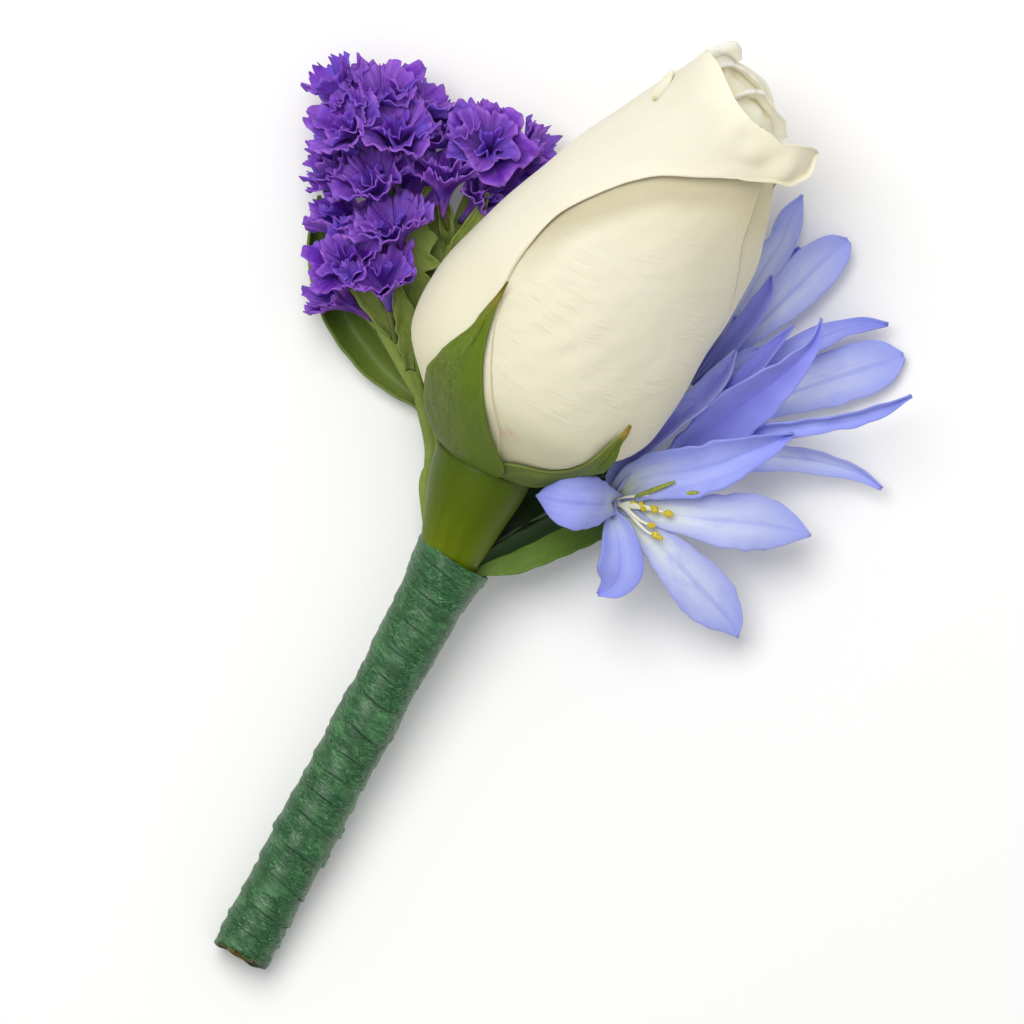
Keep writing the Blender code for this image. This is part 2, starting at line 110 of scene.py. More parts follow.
# a smooth random field between about -1 and 1: the mean of sine waves in random directions,
# whose lengths lie within a factor of two of the given size
def waves(x, y, size, seed, count=7):
    draw = np.random.default_rng(seed)
    total = 0
    for _ in range(count):
        turn, phase = draw.uniform(0, 2 * math.pi, 2)
        pace = 2 * math.pi / (size * draw.uniform(0.7, 1.5))
        total = total + np.sin(pace * (x * math.cos(turn) + y * math.sin(turn)) + phase)
    return total / math.sqrt(count)


# quads between the following rows of a grid; a loop also joins its last column to its first
def gridFaces(rows, columns, loop=False):
    at = np.arange(rows * columns).reshape(rows, columns)
    if loop:
        at = np.concatenate([at, at[:, :1]], axis=1)
    return np.stack([at[:-1, :-1], at[:-1, 1:], at[1:, 1:], at[1:, :-1]], -1).reshape(-1, 4)


# quads of a ring whose rows run right round it: its last row also meets its first
def ringFaces(rows, sides):
    at = np.arange(sides)
    after = np.roll(at, -1)
    last = (rows - 1) * sides
    closing = np.stack([last + at, last + after, after, at], -1)
    return np.concatenate([gridFaces(rows, sides, loop=True), closing])


# quads of a skin of rings, with fans from its first and last rows to one more point each
def cappedFaces(rows, sides, flipped=False):
    skin = gridFaces(rows, sides, loop=True)
    at = np.arange(sides)
    after = np.roll(at, -1)
    if flipped:
        skin, at, after = skin[:, ::-1], after, at
    last = (rows - 1) * sides
    foot = np.stack([np.full(sides, rows * sides), after, at, at], -1)
    tip = np.stack([np.full(sides, rows * sides + 1), last + at, last + after, last + after], -1)
    return np.concatenate([skin, foot, tip])


# a field of rings as one line for each point, with one more line for each of its two caps
def cappedField(field):
    return np.vstack([field.reshape(-1, 3), field[0, :1], field[-1, :1]])


# normals of a grid: the cross product of its two directions, across by along
def gridNormals(grid):
    return unit(np.cross(np.gradient(grid, axis=1), np.gradient(grid, axis=0)))


# length along each line of a grid from its first point
def lengths(grid, axis):
    steps = np.linalg.norm(np.diff(grid, axis=axis), axis=2)
    pad = [(0, 0), (0, 0)]
    pad[axis] = (1, 0)
    return np.pad(np.cumsum(steps, axis=axis), pad)


# a thin closed sheet: the grid moved half the wall each way along its normals and joined round
# its border. The wall may vary over the grid. Its "lie" holds millimetres across and along,
# and its "look" holds share along, distance from the middle line, and side (1 front, 0 back)
def sheet(grid, wall, seed=0, centred=True):
    rows, columns = grid.shape[:2]
    normals = gridNormals(grid)
    half = np.broadcast_to(np.asarray(wall, float), (rows, columns))[..., None] / 2
    points = np.concatenate([grid + normals * half, grid - normals * half]).reshape(-1, 3)
    front = gridFaces(rows, columns)
    at = np.arange(rows * columns).reshape(rows, columns)
    rim = np.concatenate([at[0, :-1], at[:-1, -1], at[-1, :0:-1], at[:0:-1, 0]])
    after = np.roll(rim, -1)
    count = rows * columns
    band = np.stack([rim + count, after + count, after, rim], -1)
    faces = np.concatenate([front, front[:, ::-1] + count, band])
    across = lengths(grid, 1)
    if centred:
        across = across - across[:, -1:] / 2
    along = lengths(grid, 0)
    share = np.linspace(0, 1, rows)[:, None] + np.zeros((rows, columns))
    middle = np.abs(np.linspace(-1, 1, columns))[None, :] + np.zeros((rows, columns))
    lie = np.stack([across, along, np.full_like(along, seed * patternStep)], -1).reshape(-1, 3)
    look = [np.stack([share, middle, np.full_like(share, face)], -1).reshape(-1, 3) for face in (1, 0)]
    return points, faces, np.concatenate([lie, lie]), np.concatenate(look)


# a closed tube: rings square to a path, radius by row or by row and side, each end drawn in to a
# point. A hollow one turns in at its far end and comes back over that many rows, a wall inside
def tube(path, radii, sides=12, seed=0, start=(0, 0, 1), hollow=0, wall=0.25):
    path = np.asarray(path, float)
    tangents = unit(np.gradient(path, axis=0))
    across = unit(np.cross(tangents[0], start))
    frames = []
    for tangent in tangents:
        across = unit(across - tangent * (across @ tangent))
        frames.append((across, np.cross(across, tangent)))
    frames = np.array(frames)
    radii = np.asarray(radii, float)
    radii = np.broadcast_to(radii[:, None] if radii.ndim == 1 else radii, (len(path), sides))
    front = np.ones(len(path))
    if hollow:
        back = np.arange(len(path) - 1, len(path) - 1 - hollow, -1)
        path, frames = (np.concatenate([values, values[back]]) for values in (path, frames))
        radii, front = np.concatenate([radii, radii[back] - wall]), np.concatenate([front, 0 * back])
    turn = np.linspace(0, 2 * math.pi, sides, endpoint=False)
    right, up = frames[:, None, 0], frames[:, None, 1]
    circle = np.cos(turn)[None, :, None] * right + np.sin(turn)[None, :, None] * up
    rings = path[:, None] + circle * radii[..., None]
    points = np.vstack([rings.reshape(-1, 3), path[:1], path[-1:]])
    distance = np.concatenate([[0], np.cumsum(np.linalg.norm(np.diff(path, axis=0), axis=1))])
    around = turn[None, :] * radii.mean() + 0 * distance[:, None]
    lie = np.stack([around, distance[:, None] + 0 * turn, np.full_like(around, seed * patternStep)], -1)
    share = np.minimum(distance[:, None] / distance[front > 0][-1], 1) + 0 * turn
    look = np.stack([share, 0.5 + 0 * share, front[:, None] + 0 * share], -1)
    return points, cappedFaces(len(path), sides, flipped=True), cappedField(lie), cappedField(look)


# a closed skin over rings: each row is a ring, and the first and last rows are drawn in to a point.
# Its "look" holds the share along, a given tone and side 1
def closedRings(rings, tone, seed=0):
    rows, sides = rings.shape[:2]
    points = np.vstack([rings.reshape(-1, 3), rings[:1].mean(axis=1), rings[-1:].mean(axis=1)])
    along = lengths(rings, 0)
    around = lengths(rings, 1)
    share = np.linspace(0, 1, rows)[:, None] + 0 * tone
    lie = np.stack([around, along, 0 * along + seed * patternStep], -1)
    look = np.stack([share, tone, 1 + 0 * tone], -1)
    return points, cappedFaces(rows, sides), cappedField(lie), cappedField(look)


# a thin closed ring of a sheet: a grid whose last column meets its first, moved half the wall
# each way along its normals and joined along its first and last rows. Its "look" holds the share
# along and the side (1 outside, 0 inside)
def ringSheet(grid, wall, seed=0):
    rows, sides = grid.shape[:2]
    wrapped = np.concatenate([grid[:, -1:], grid, grid[:, :1]], axis=1)
    normals = gridNormals(wrapped)[:, 1:-1]
    outer, inner = grid + normals * wall / 2, grid - normals * wall / 2
    points = np.concatenate([outer, inner[::-1]]).reshape(-1, 3)
    turn = np.linspace(0, 2 * math.pi, sides, endpoint=False)[None, :] + np.zeros((rows, 1))
    along = lengths(grid, 0)
    share = np.linspace(0, 1, rows)[:, None] + 0 * turn
    lie = np.stack([turn * 2, along, 0 * turn + seed * patternStep], -1)
    outside, inside = (np.stack([share, 0 * turn, 0 * turn + face], -1) for face in (1, 0))
    lies = np.concatenate([lie, lie[::-1]]).reshape(-1, 3)
    looks = np.concatenate([outside, inside[::-1]]).reshape(-1, 3)
    return points, ringFaces(2 * rows, sides), lies, looks


# a blade: rows along a route of points with a half width, columns across, square to the way it
# faces. Its margins rise by the cup, its middle sinks by the fold, ripples grow to its margins,
# and the margins wave in and out
def blade(look, rows=48, columns=21):
    placed = route(look["path"], rows)
    path, half = placed[:, :3], placed[:, 3]
    t = np.linspace(0, 1, rows)
    facing = np.array(look.get("facing", [(0, 0, 1)]), float)
    stops = np.linspace(0, 1, len(facing))
    facing = np.column_stack([np.interp(t, stops, axis) for axis in facing.T])
    side = unit(np.cross(unit(np.gradient(path, axis=0)), facing))
    normal = unit(np.cross(side, np.gradient(path, axis=0)))
    u = np.linspace(-1, 1, columns)[None, :]
    seed = look.get("seed", 1)
    crease = np.sqrt(u * u + 0.02) - 0.14    # a V with a rounded foot
    rise = curve(look.get("cup", [(0, 0), (1, 0)]), t)[:, None] * u ** 2
    rise = rise + curve(look.get("fold", [(0, 0), (1, 0)]), t)[:, None] * crease
    along = lengths(path[:, None], 0)
    ripple = look.get("ripple", 0.1) * waves(u * 3, along, look.get("rippleSize", 5), seed)
    rise = rise + ripple * (0.25 + u ** 2)
    fade = 1 - ease(t, 0.8, 0.97)[:, None]
    margin = fade * look.get("wavy", 0.03) * waves(np.sign(u) * 5, along, look.get("wavySize", 3), seed + 9)
    reach = half[:, None] * u * (1 + margin)
    return path[:, None] + side[:, None] * reach[..., None] + normal[:, None] * rise[..., None]


# the faces of a closed shell, turned round where its volume, the sum of each face's corner
# product, says that they point inwards
def onlyTurnedOut(points, faces):
    a, b, c = (points[faces[:, k]] for k in range(3))
    volume = np.einsum("ij,ij->i", a, np.cross(b, c)).sum()
    if faces.shape[1] == 4:
        d = points[faces[:, 3]]
        volume += np.einsum("ij,ij->i", a, np.cross(c, d)).sum()
    return faces if volume > 0 else faces[:, ::-1]


# one mesh from several closed shells, put on the frame with its fields and finish, under the root body, with
# its CAD nodes hidden
def makePiece(name, shells, finish, nodes=()):
    points, faces, lies, looks, count = [], [], [], [], 0
    for shellPoints, shellFaces, lie, look in shells:
        points.append(shellPoints)
        faces.append(onlyTurnedOut(shellPoints, shellFaces) + count)
        lies.append(lie)
        looks.append(look)
        count += len(shellPoints)
    faces = [list(dict.fromkeys(face)) for face in np.concatenate(faces).tolist()]
    mesh = bpy.data.meshes.new(name)
    mesh.from_pydata(toRow(np.concatenate(points)).tolist(), [], faces)
    for label, values in (("lie", lies), ("look", looks)):
        field = mesh.attributes.new(label, "FLOAT_VECTOR", "POINT")
        field.data.foreach_set("vector", np.concatenate(values).astype(np.float32).ravel())
    mesh.materials.append(finish)
    mesh.shade_smooth()
    piece = bpy.data.objects.new(name, mesh)
    bpy.context.scene.collection.objects.link(piece)
    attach(piece, "root")
    if nodes:
        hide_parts(*nodes)
    return piece


# a colour in steps of 0 to 255 as a screen shows it, made linear by the screen's own curve
def colour(red, green, blue):
    channels = np.array([red, green, blue]) / 255
    straight = np.where(channels <= 0.04045, channels / 12.92, ((channels + 0.055) / 1.055) ** 2.4)
    return (*straight.tolist(), 1)


# a small kit for one material: a Principled shader with sockets set by their names
class Finish:
    # underscores in a socket's name stand for its spaces
    def __init__(self, name, roughness, **sockets):
        self.material = bpy.data.materials.new(name)
        self.material.use_nodes = True
        self.tree = self.material.node_tree
        self.shader = self.tree.nodes["Principled BSDF"]
        self.shader.inputs["Roughness"].default_value = roughness
        for socket, value in sockets.items():
            self.shader.inputs[socket.replace("_", " ")].default_value = value

    # adds a node with its sockets set or linked
    def node(self, kind, inputs=(), **settings):
        made = self.tree.nodes.new(kind)
        for key, value in settings.items():
            setattr(made, key, value)
        for socket, value in dict(inputs).items():
            if isinstance(value, bpy.types.NodeSocket):
                self.tree.links.new(value, made.inputs[socket])
            else:
                made.inputs[socket].default_value = value
        return made

    # a mesh's own "lie" or "look" field
    def field(self, name):
        return self.node("ShaderNodeAttribute", attribute_name=name).outputs["Vector"]

    # one of a vector's three parts
    def part(self, vector, axis):
        return self.node("ShaderNodeSeparateXYZ", {0: vector}).outputs[axis]

    # noise on a field that is stretched by scale along each axis
    def noise(self, vector, scale, detail, warp=0.0):
        placed = self.node("ShaderNodeMapping", {"Vector": vector, "Scale": scale}).outputs[0]
        inputs = {"Vector": placed, "Scale": 1.0, "Detail": detail, "Roughness": 0.55, "Distortion": warp}
        return self.node("ShaderNodeTexNoise", inputs).outputs[0]

    # distance to the nearest border between random cells on a field stretched by scale
    def cells(self, vector, scale):
        placed = self.node("ShaderNodeMapping", {"Vector": vector, "Scale": scale}).outputs[0]
        inputs = {"Vector": placed, "Scale": 1.0}
        return self.node("ShaderNodeTexVoronoi", inputs, feature="DISTANCE_TO_EDGE").outputs[0]

    # colours, or plain amounts, at the given places between 0 and 1
    def ramp(self, value, stops):
        made = self.node("ShaderNodeValToRGB", {0: value})
        while len(made.color_ramp.elements) < len(stops):
            made.color_ramp.elements.new(0.5)
        for element, (place, tone) in zip(made.color_ramp.elements, stops):
            element.position = place
            element.color = tone if isinstance(tone, tuple) else (tone, tone, tone, 1)
        return made.outputs[0]

    # the first colour where share is 0 and the second where it is 1
    def mix(self, share, first, second):
        made = self.node("ShaderNodeMix", {0: share, 6: first, 7: second}, data_type="RGBA")
        return made.outputs[2]

    # a second colour laid over a tone where a ramp of some field says so
    def over(self, tone, field, stops, second):
        return self.mix(self.ramp(field, stops), tone, second)

    # one operation of Blender's maths node
    def compute(self, operation, first, second):
        return self.node("ShaderNodeMath", {0: first, 1: second}, operation=operation).outputs[0]

    # the shader's own colour
    def base(self, tone):
        self.tree.links.new(tone, self.shader.inputs["Base Color"])

    # relief over any relief under it, its distance in millimetres; the last one reaches the shader
    def bump(self, height, strength, distance, under=None):
        inputs = {"Height": height, "Strength": strength, "Distance": distance * mm}
        if under is not None:
            inputs["Normal"] = under
        made = self.node("ShaderNodeBump", inputs).outputs[0]
        self.tree.links.new(made, self.shader.inputs["Normal"])
        return made


# the bud: where its base lies, how it rises and bends, and its radius by height
bud = dict(
    base=np.array([-2.1, 66.3, 14.4]),
    rise=math.radians(12),
    bend=math.radians(0.335),    # turn to the right for each millimetre up the bud
    radius=[(0, 5.6), (3, 8.8), (6, 12.2), (9, 15.3), (12, 16.5), (16, 16.8), (22, 16.1), (30, 14.5),
            (38, 12.7), (44, 11.1), (50, 9.6), (56, 8.9), (60, 8.3)],
    wall=0.3,
    top=55,
    closeRows=43,           # the height above which a petal's rows lie closer
    flankAngles=(40, 80),   # a petal's flank starts at the first and is full at the second
)


# a place round the bud: a circle square to an axis that leans up and bends to the right.
# Angle 0 faces up and a positive angle is to the right
def budPoint(angle, height, radius):
    front = np.array([0, -math.sin(bud["rise"]), math.cos(bud["rise"])])
    along = np.array([0, math.cos(bud["rise"]), math.sin(bud["rise"])])
    right = np.array([1, 0, 0])
    height, angle = np.asarray(height)[..., None], np.radians(angle)[..., None]
    bend = bud["bend"] * height
    centre = bud["base"] + (1 - np.cos(bend)) / bud["bend"] * right + np.sin(bend) / bud["bend"] * along
    side = np.cos(bend) * right - np.sin(bend) * along
    return centre + np.asarray(radius)[..., None] * (np.sin(angle) * side + np.cos(angle) * front)


# a petal: rows of a height from low to top, columns of an angle between its left and right
# margins, a radius that follows the bud less its depth, plus ripples, dents and a lifted margin
def petalGrid(look):
    top = bud["top"]
    below = np.linspace(look.get("low", 1.2), bud["closeRows"], 46, endpoint=False)
    nominal = np.concatenate([below, np.linspace(bud["closeRows"], top, 34)])[:, None]
    u = np.linspace(0, 1, look.get("columns", 72))[None, :]
    angle = curve(look["left"], nominal) * (1 - u) + curve(look["right"], nominal) * u
    height = nominal + (curve(look["rim"], angle) - top) * ease(nominal, 0.55 * top, top)
    scallop = look.get("scallop", 0) * waves(angle * 0.16, 0 * height, 4.5, look["seed"] + 80)
    height = height + scallop * ease(nominal, 0.9 * top, top)
    radius = curve(bud["radius"], height) - curve(look["depth"], angle)
    radius = radius + 0.16 * waves(angle * 0.25, height, 13, look.get("swellSeed", look["seed"]))
    radius = radius + look.get("fine", 0.02) * waves(angle * 0.9, height * 0.28, 4.2, look["seed"] + 50)
    for size, atAngle, atHeight, wide, tall in look.get("dents", ()):
        radius = radius - size * bell(angle, atAngle, wide) * bell(height, atHeight, tall)
    for size, atAngle, atHeight, wide, tall in look.get("crinkles", ()):
        ridges = waves(angle * 0.09 + height * 0.25, height - angle * 0.06, 1.5, look["seed"] + 70)
        radius = radius + size * ridges * bell(angle, atAngle, wide) * bell(height, atHeight, tall)
    if "lift" in look:
        fromMargin = (1 - u) * np.abs(angle[:, -1:] - angle[:, :1])
        radius = radius + curve(look["lift"]["size"], height) * ease(fromMargin, look["lift"]["width"], 0)
    if "lip" in look:
        radius = radius + ease(angle, *look["lip"]["angles"]) * curve(look["lip"]["shape"], height)
    radius = radius + curve(look.get("flare", [(0, 0), (60, 0)]), height)
    flank = curve(look.get("flank", [(0, 0), (60, 0)]), height)
    return budPoint(angle, height, radius + flank * ease(angle, *bud["flankAngles"]))


# a margin rolled outwards: from each border point, an arc of the given radius and turn, in the
# plane of the surface's normal and the direction that leaves the petal. Returns the new columns
def rollMargin(border, normals, outward, radius, turn, steps=9):
    tangent = unit(np.gradient(border, axis=0))
    leave = unit(np.cross(tangent, normals)) * outward
    radius = np.asarray(radius, float)[:, None, None]
    swept = np.asarray(turn, float)[:, None, None] * np.linspace(0, 1, steps + 1)[None, 1:, None]
    lifted = (1 - np.cos(swept)) * normals[:, None]
    return border[:, None] + radius * (np.sin(swept) * leave[:, None] + lifted)


# the grid with its top margin rolled out by an arc whose radius ripples along the margin
def rollTopMargin(grid, look, ripple):
    shares = np.linspace(0, 1, grid.shape[1])
    size, turn = curve(look["rollTop"]["size"], shares), np.radians(curve(look["rollTop"]["turn"], shares))
    size = size * (1 + 0.15 * waves(shares * 40, 0 * shares, ripple, look["seed"] + 60))
    extra = rollMargin(grid[-1], gridNormals(grid)[-1], -1, size, turn)
    return np.concatenate([grid, extra.transpose(1, 0, 2)], axis=0)


# the petal's grid with its right margin and its top margin rolled, where its settings say so
def rolledPetal(look):
    grid = petalGrid(look)
    if "roll" in look:
        shares = np.linspace(0, 1, len(grid))
        size, turn = curve(look["roll"]["size"], shares), np.radians(curve(look["roll"]["turn"], shares))
        extra = rollMargin(grid[:, -1], gridNormals(grid)[:, -1], 1, size, turn)
        grid = np.concatenate([grid, extra], axis=1)
    return rollTopMargin(grid, look, 8) if "rollTop" in look else grid


# a petal that stands inside the bud: its line across the mouth, as places to the right and to the
# front of the bud's middle, narrows down the bud in step with the bud's own radius. Its rim rolls
def scrollGrid(look):
    foot, rows, columns = 4, 70, 80
    line = np.array(look["line"], float)
    line = route(np.column_stack([line[:, :2], 0 * line[:, 0], line[:, 2]]), columns)
    heights = foot + np.linspace(0, 1, rows)[:, None] ** 0.8 * (line[None, :, 3] - foot)
    scale = curve(bud["radius"], heights) / curve(bud["radius"], bud["top"])
    x, y = line[None, :, 0] * scale, line[None, :, 1] * scale
    ripple = 0.18 * waves(line[None, :, 0] * 1.5, heights * 0.3, 5, look["seed"])
    return rollTopMargin(budPoint(np.degrees(np.arctan2(x, y)), heights, np.hypot(x, y) + ripple), look, 9)


# a small rosy mark on the swollen petal beside the foot of the front sepal
rosySpot = dict(angle=3.2, height=6.6, size=2.0, tone=colour(216, 154, 138))


# short slanting creases on the swell of the petal, in patches, over the relief under them
def addCreases(look, lie, share, under):
    creases = look.noise(lie, (0.3, 1.0, 1), 3, warp=0.8)
    where = look.ramp(share, [(0.1, 0.0), (0.22, 1.0), (0.42, 0.8), (0.6, 0.1)])
    patches = look.ramp(look.noise(lie, (0.12, 0.12, 1), 2), [(0.42, 0.05), (0.6, 1.0)])
    height = look.compute("MULTIPLY", look.compute("MULTIPLY", where, patches), creases)
    look.bump(height, 0.7, 0.45, under=under)


# the rosy mark: full at its middle, gone at its size away from it, and broken up by noise
def addRosySpot(look, lie, ivory):
    radius = curve(bud["radius"], rosySpot["height"])
    middle = toRow(budPoint(np.array(rosySpot["angle"]), np.array(rosySpot["height"]), radius)).tolist()
    place = look.node("ShaderNodeTexCoord").outputs["Object"]
    away = look.node("ShaderNodeVectorMath", {0: place, 1: middle}, operation="DISTANCE").outputs["Value"]
    away = look.compute("DIVIDE", away, rosySpot["size"] * mm)
    broken = look.ramp(look.noise(lie, (0.9, 0.9, 1), 1), [(0.35, 0.1), (0.6, 1.0)])
    blush = look.compute("MULTIPLY", look.ramp(away, [(0.1, 0.8), (1.0, 0.0)]), broken)
    look.base(look.mix(blush, ivory, rosySpot["tone"]))


# ivory from a petal's foot to its rim, with clouds and long veins. Hollow is a colour laid where the look's
# second part says: a yellow tint in the heart's hollows, and painted shade on the front petal under the
# outer petal's margin. Creased adds the creases and the rosy mark
def petalFinish(name, tones, hollow=None, soft=0.35, depth=1.6, creased=False):
    look = Finish(name, 0.6, Subsurface_Weight=soft, Subsurface_Radius=(1.0, 0.8, 0.5),
                  Subsurface_Scale=depth * mm, Sheen_Weight=0.05, Sheen_Roughness=0.5, Specular_IOR_Level=0.2)
    lie, face = look.field("lie"), look.field("look")
    share = look.part(face, 0)
    foot = [(0.0, colour(208, 200, 150)), (0.14, colour(232, 224, 192))]
    ivory = look.ramp(share, foot + tones)
    cloud = look.noise(lie, (0.09, 0.05, 1), 2)
    ivory = look.over(ivory, cloud, [(0.35, 0.0), (0.75, 0.4)], colour(232, 222, 190))
    veins = look.noise(lie, (1.3, 0.05, 1), 3, warp=0.4)
    ivory = look.over(ivory, veins, [(0.45, 0.0), (0.8, 0.1)], colour(226, 216, 178))
    if hollow:
        ivory = look.over(ivory, look.part(face, 1), [(0.1, 0.0), (0.8, 1.0)], hollow)
    look.base(ivory)
    grain = look.bump(look.noise(lie, (5.0, 1.6, 1), 3), 0.1, 0.1)
    last = look.bump(veins, 0.06, 0.1, under=grain)
    if creased:
        addCreases(look, lie, share, last)
        addRosySpot(look, lie, ivory)
    return look.material


# each petal: its margins as angles by height, its rim's height and its depth inside the bud's own
# radius by angle. A roll has a radius and degrees of turn along its margin. Flare is more radius by
# height, flank the same on the flank only, and lift the same beside the right margin. A dent is its
# depth, angle, height and two widths, and a crinkle likewise
petals = {
    "petal_outer_left": dict(
        depth=[(-190, -0.1), (120, -0.1)], seed=3, columns=120,
        left=[(0, -188), (55, -170)],
        right=[(0, 12), (5.8, 1), (10.3, -11), (12.4, -16), (16.5, -25), (21.5, -35), (26, -39.5),
               (31.2, -40), (35.1, -34.5), (40.8, -22), (43, -15), (45.6, -1), (48.6, 21), (49.9, 36),
               (50.4, 46), (50.8, 53), (51.4, 58.5), (52.3, 63), (53.4, 66.5), (55, 67)],
        rim=[(-190, 53), (-120, 54), (-90, 55), (-66, 55.7), (-49, 55.8), (-33, 55.4), (-17, 54.9),
             (-2, 54.8), (9, 55.1), (19, 55.4), (29, 55.4), (45, 56.2), (60, 56.6), (75, 56.0),
             (92, 55.6)],
        roll=dict(size=[(0, 0.04), (0.3, 0.06), (0.38, 0.15), (0.55, 0.3), (0.75, 0.4), (0.86, 0.45),
                        (1, 0.4)],
                  turn=[(0, 20), (0.3, 20), (0.4, 25), (0.55, 28), (0.75, 45), (0.84, 140), (1, 120)]),
        lift=dict(size=[(0, 0), (22, 0.05), (30, 0.45), (38, 0.9), (46, 1.2), (50, 0.4), (53, 0)], width=22),
        lip=dict(angles=(32, 60),
                 shape=[(40, 0), (50, 0.1), (52.5, 1.0), (54.5, 0.8), (56, 0.2), (58, -0.1)]),
        rollTop=dict(size=[(0, 0.15), (0.8, 0.15), (0.9, 0.35), (1, 0.35)],
                     turn=[(0, 50), (0.8, 50), (0.9, 110), (1, 110)]),
        dents=[(0.5, -19, 50.8, 13, 2.2), (-0.22, -36, 52.6, 12, 2.4), (0.36, 8, 52.8, 9, 1.4),
               (-0.3, 19, 51.8, 9, 1.2), (0.36, 31, 51.6, 9, 1.4), (-0.4, 46, 53.4, 7, 1.6),
               (0.35, 57, 53.0, 5, 1.5), (0.22, -60, 46, 12, 4), (0.12, -30, 40, 9, 5),
               (-0.1, -52, 38, 9, 6)],
        flare=[(0, 0), (44, 0), (50, 0.15), (55, 0.1), (60, 0.1)],
    ),
    "petal_outer_front": dict(
        depth=[(-65, 1.0), (-48, 0.85), (-40, 0.45), (-32, 0.26), (0, 0.28), (75, 0.35)], seed=8,
        swellSeed=3, columns=90, fine=0.012, skin="creased",
        left=[(0, -10), (16, -50), (34, -62), (55, -40)],
        right=[(0, 80), (12.5, 86), (25, 86), (34.4, 79), (39, 68.5), (43.1, 57.5), (47.5, 52), (51, 49),
               (55, 46)],
        flank=[(0, 0), (4, -0.8), (8, -0.9), (12, -0.6), (18, -0.2), (24, 0.2), (30, 0.55), (36, 0.65),
               (40, 0.7), (44, 0.4), (48, 0), (60, 0)],
        rim=[(-62, 52), (0, 53), (45, 53.5), (70, 53)],
        roll=dict(size=[(0, 0.12), (1, 0.12)], turn=[(0, 40), (0.4, 60), (1, 60)]),
        crinkles=[(0.1, -8, 22, 26, 11), (0.07, 25, 15, 25, 8), (0.05, 20, 34, 24, 8)],
        flare=[(0, 0), (28, 0), (37, 0.28), (45, 0.1), (48, -0.3), (50, -0.8), (52, -1.3), (56, -1.5)],
    ),
    "petal_outer_right": dict(
        depth=[(40, 0.9), (66, 0.85), (84, 0.55), (100, 0.2), (120, 0.1)], seed=12, swellSeed=3,
        columns=60, skin="shadedTop",
        flank=[(0, 0), (4, -0.6), (8, -0.7), (12, -0.5), (18, -0.1), (24, 0.2), (32, 0.5), (40, 0.4),
               (45, -0.1), (50, -0.3), (60, -0.3)],
        left=[(0, 45), (55, 35)],
        right=[(0, 118), (55, 112)],
        rim=[(35, 53), (60, 52.5), (90, 51.3), (120, 50.6)],
        flare=[(0, 0), (26, 0.1), (34, 0.5), (40, 0.75), (44, 0.45), (46, 0.1), (48, -0.7), (50, -1.2),
               (54, -1.2)],
    ),
    "petal_outer_back": dict(
        depth=[(90, 0.5), (215, 0.5)], seed=17, swellSeed=3, columns=80, scallop=0.1,
        flank=[(0, 0), (4, -0.6), (8, -0.7), (12, -0.5), (18, -0.1), (24, 0), (60, 0)],
        left=[(0, 96), (55, 92)],
        right=[(0, 205), (55, 215)],
        rim=[(90, 50.4), (120, 50.9), (135, 51.5), (150, 52.2), (165, 53.6), (180, 54.9), (200, 55.2),
             (215, 55.0)],
        rollTop=dict(size=[(0, 0.3), (0.4, 0.4), (1, 0.45)], turn=[(0, 130), (1, 150)]),
        flare=[(0, 0), (26, 0), (34, 0.3), (40, 0.3), (46, -0.2), (48, -0.8), (51, -0.8), (54, 0), (57, 0)],
    ),
    "petal_outer_under": dict(
        depth=[(120, 1.0), (330, 1.0)], seed=21, columns=84, scallop=0.1,
        left=[(0, 125), (55, 120)],
        right=[(0, 330), (55, 310)],
        rim=[(120, 50.6), (150, 52), (165, 53.4), (180, 54.6), (220, 55.2), (260, 55.0), (290, 54.4),
             (330, 54)],
        rollTop=dict(size=[(0, 0.3), (1, 0.3)], turn=[(0, 130), (1, 130)]),
    ),
    "petal_inner_left": dict(
        depth=[(-150, 0.8), (-60, 1.1), (40, 1.8)], seed=25, columns=90, low=3, skin="inner",
        left=[(0, -150), (55, -140)],
        right=[(0, 40), (55, 10)],
        rim=[(-150, 55.2), (-138, 56.0), (-125, 56.8), (-117, 56.5), (-111, 55.3), (-105, 54.0),
             (-94, 53.5), (-76, 53.4), (-50, 53), (40, 51.5)],
        rollTop=dict(size=[(0, 0.35), (0.2, 0.5), (0.34, 0.55), (0.45, 0.35), (0.55, 0.2), (1, 0.15)],
                     turn=[(0, 150), (0.3, 180), (0.45, 170), (0.6, 100), (1, 60)]),
    ),
    "petal_inner_right": dict(
        depth=[(38, 3.4), (90, 3.2), (120, 1.8), (212, 1.4)], seed=29, columns=80, low=3, scallop=0.1,
        skin="inner",
        left=[(0, 48), (55, 20)],
        right=[(0, 202), (55, 212)],
        rim=[(38, 51), (90, 50.0), (120, 50.4), (135, 51.0), (150, 52.0), (165, 53.2), (180, 54.4),
             (212, 54.9)],
        rollTop=dict(size=[(0, 0.25), (1, 0.4)], turn=[(0, 120), (1, 140)]),
    ),
}

# the two innermost petals: each line across the mouth holds right, front and the rim's height
scrolls = {
    "petal_inner_front": dict(
        seed=33,
        line=[(-3.6, 7.4, 53.8), (-2.9, 4.5, 55.2), (-1.9, 0.5, 55.5), (-0.4, -1.6, 55.3),
              (1.2, -2.6, 54.9), (3.4, -4.6, 54.4), (5.2, -6.0, 53.4)],
        rollTop=dict(size=[(0, 0.3), (0.2, 0.6), (0.5, 0.8), (0.8, 0.6), (1, 0.3)],
                     turn=[(0, 70), (0.3, 100), (1, 100)])),
    "petal_inner_back": dict(
        seed=37,
        line=[(-6.4, 5.0, 54.0), (-6.8, 2.4, 54.8), (-6.4, -0.6, 55.3), (-5.0, -3.2, 55.4),
              (-3.0, -5.2, 55.2), (-0.6, -6.4, 54.8), (1.8, -7.0, 54.0)],
        rollTop=dict(size=[(0, 0.3), (0.3, 0.6), (0.6, 0.8), (0.8, 0.7), (1, 0.3)],
                     turn=[(0, 70), (0.3, 100), (1, 100)])),
}

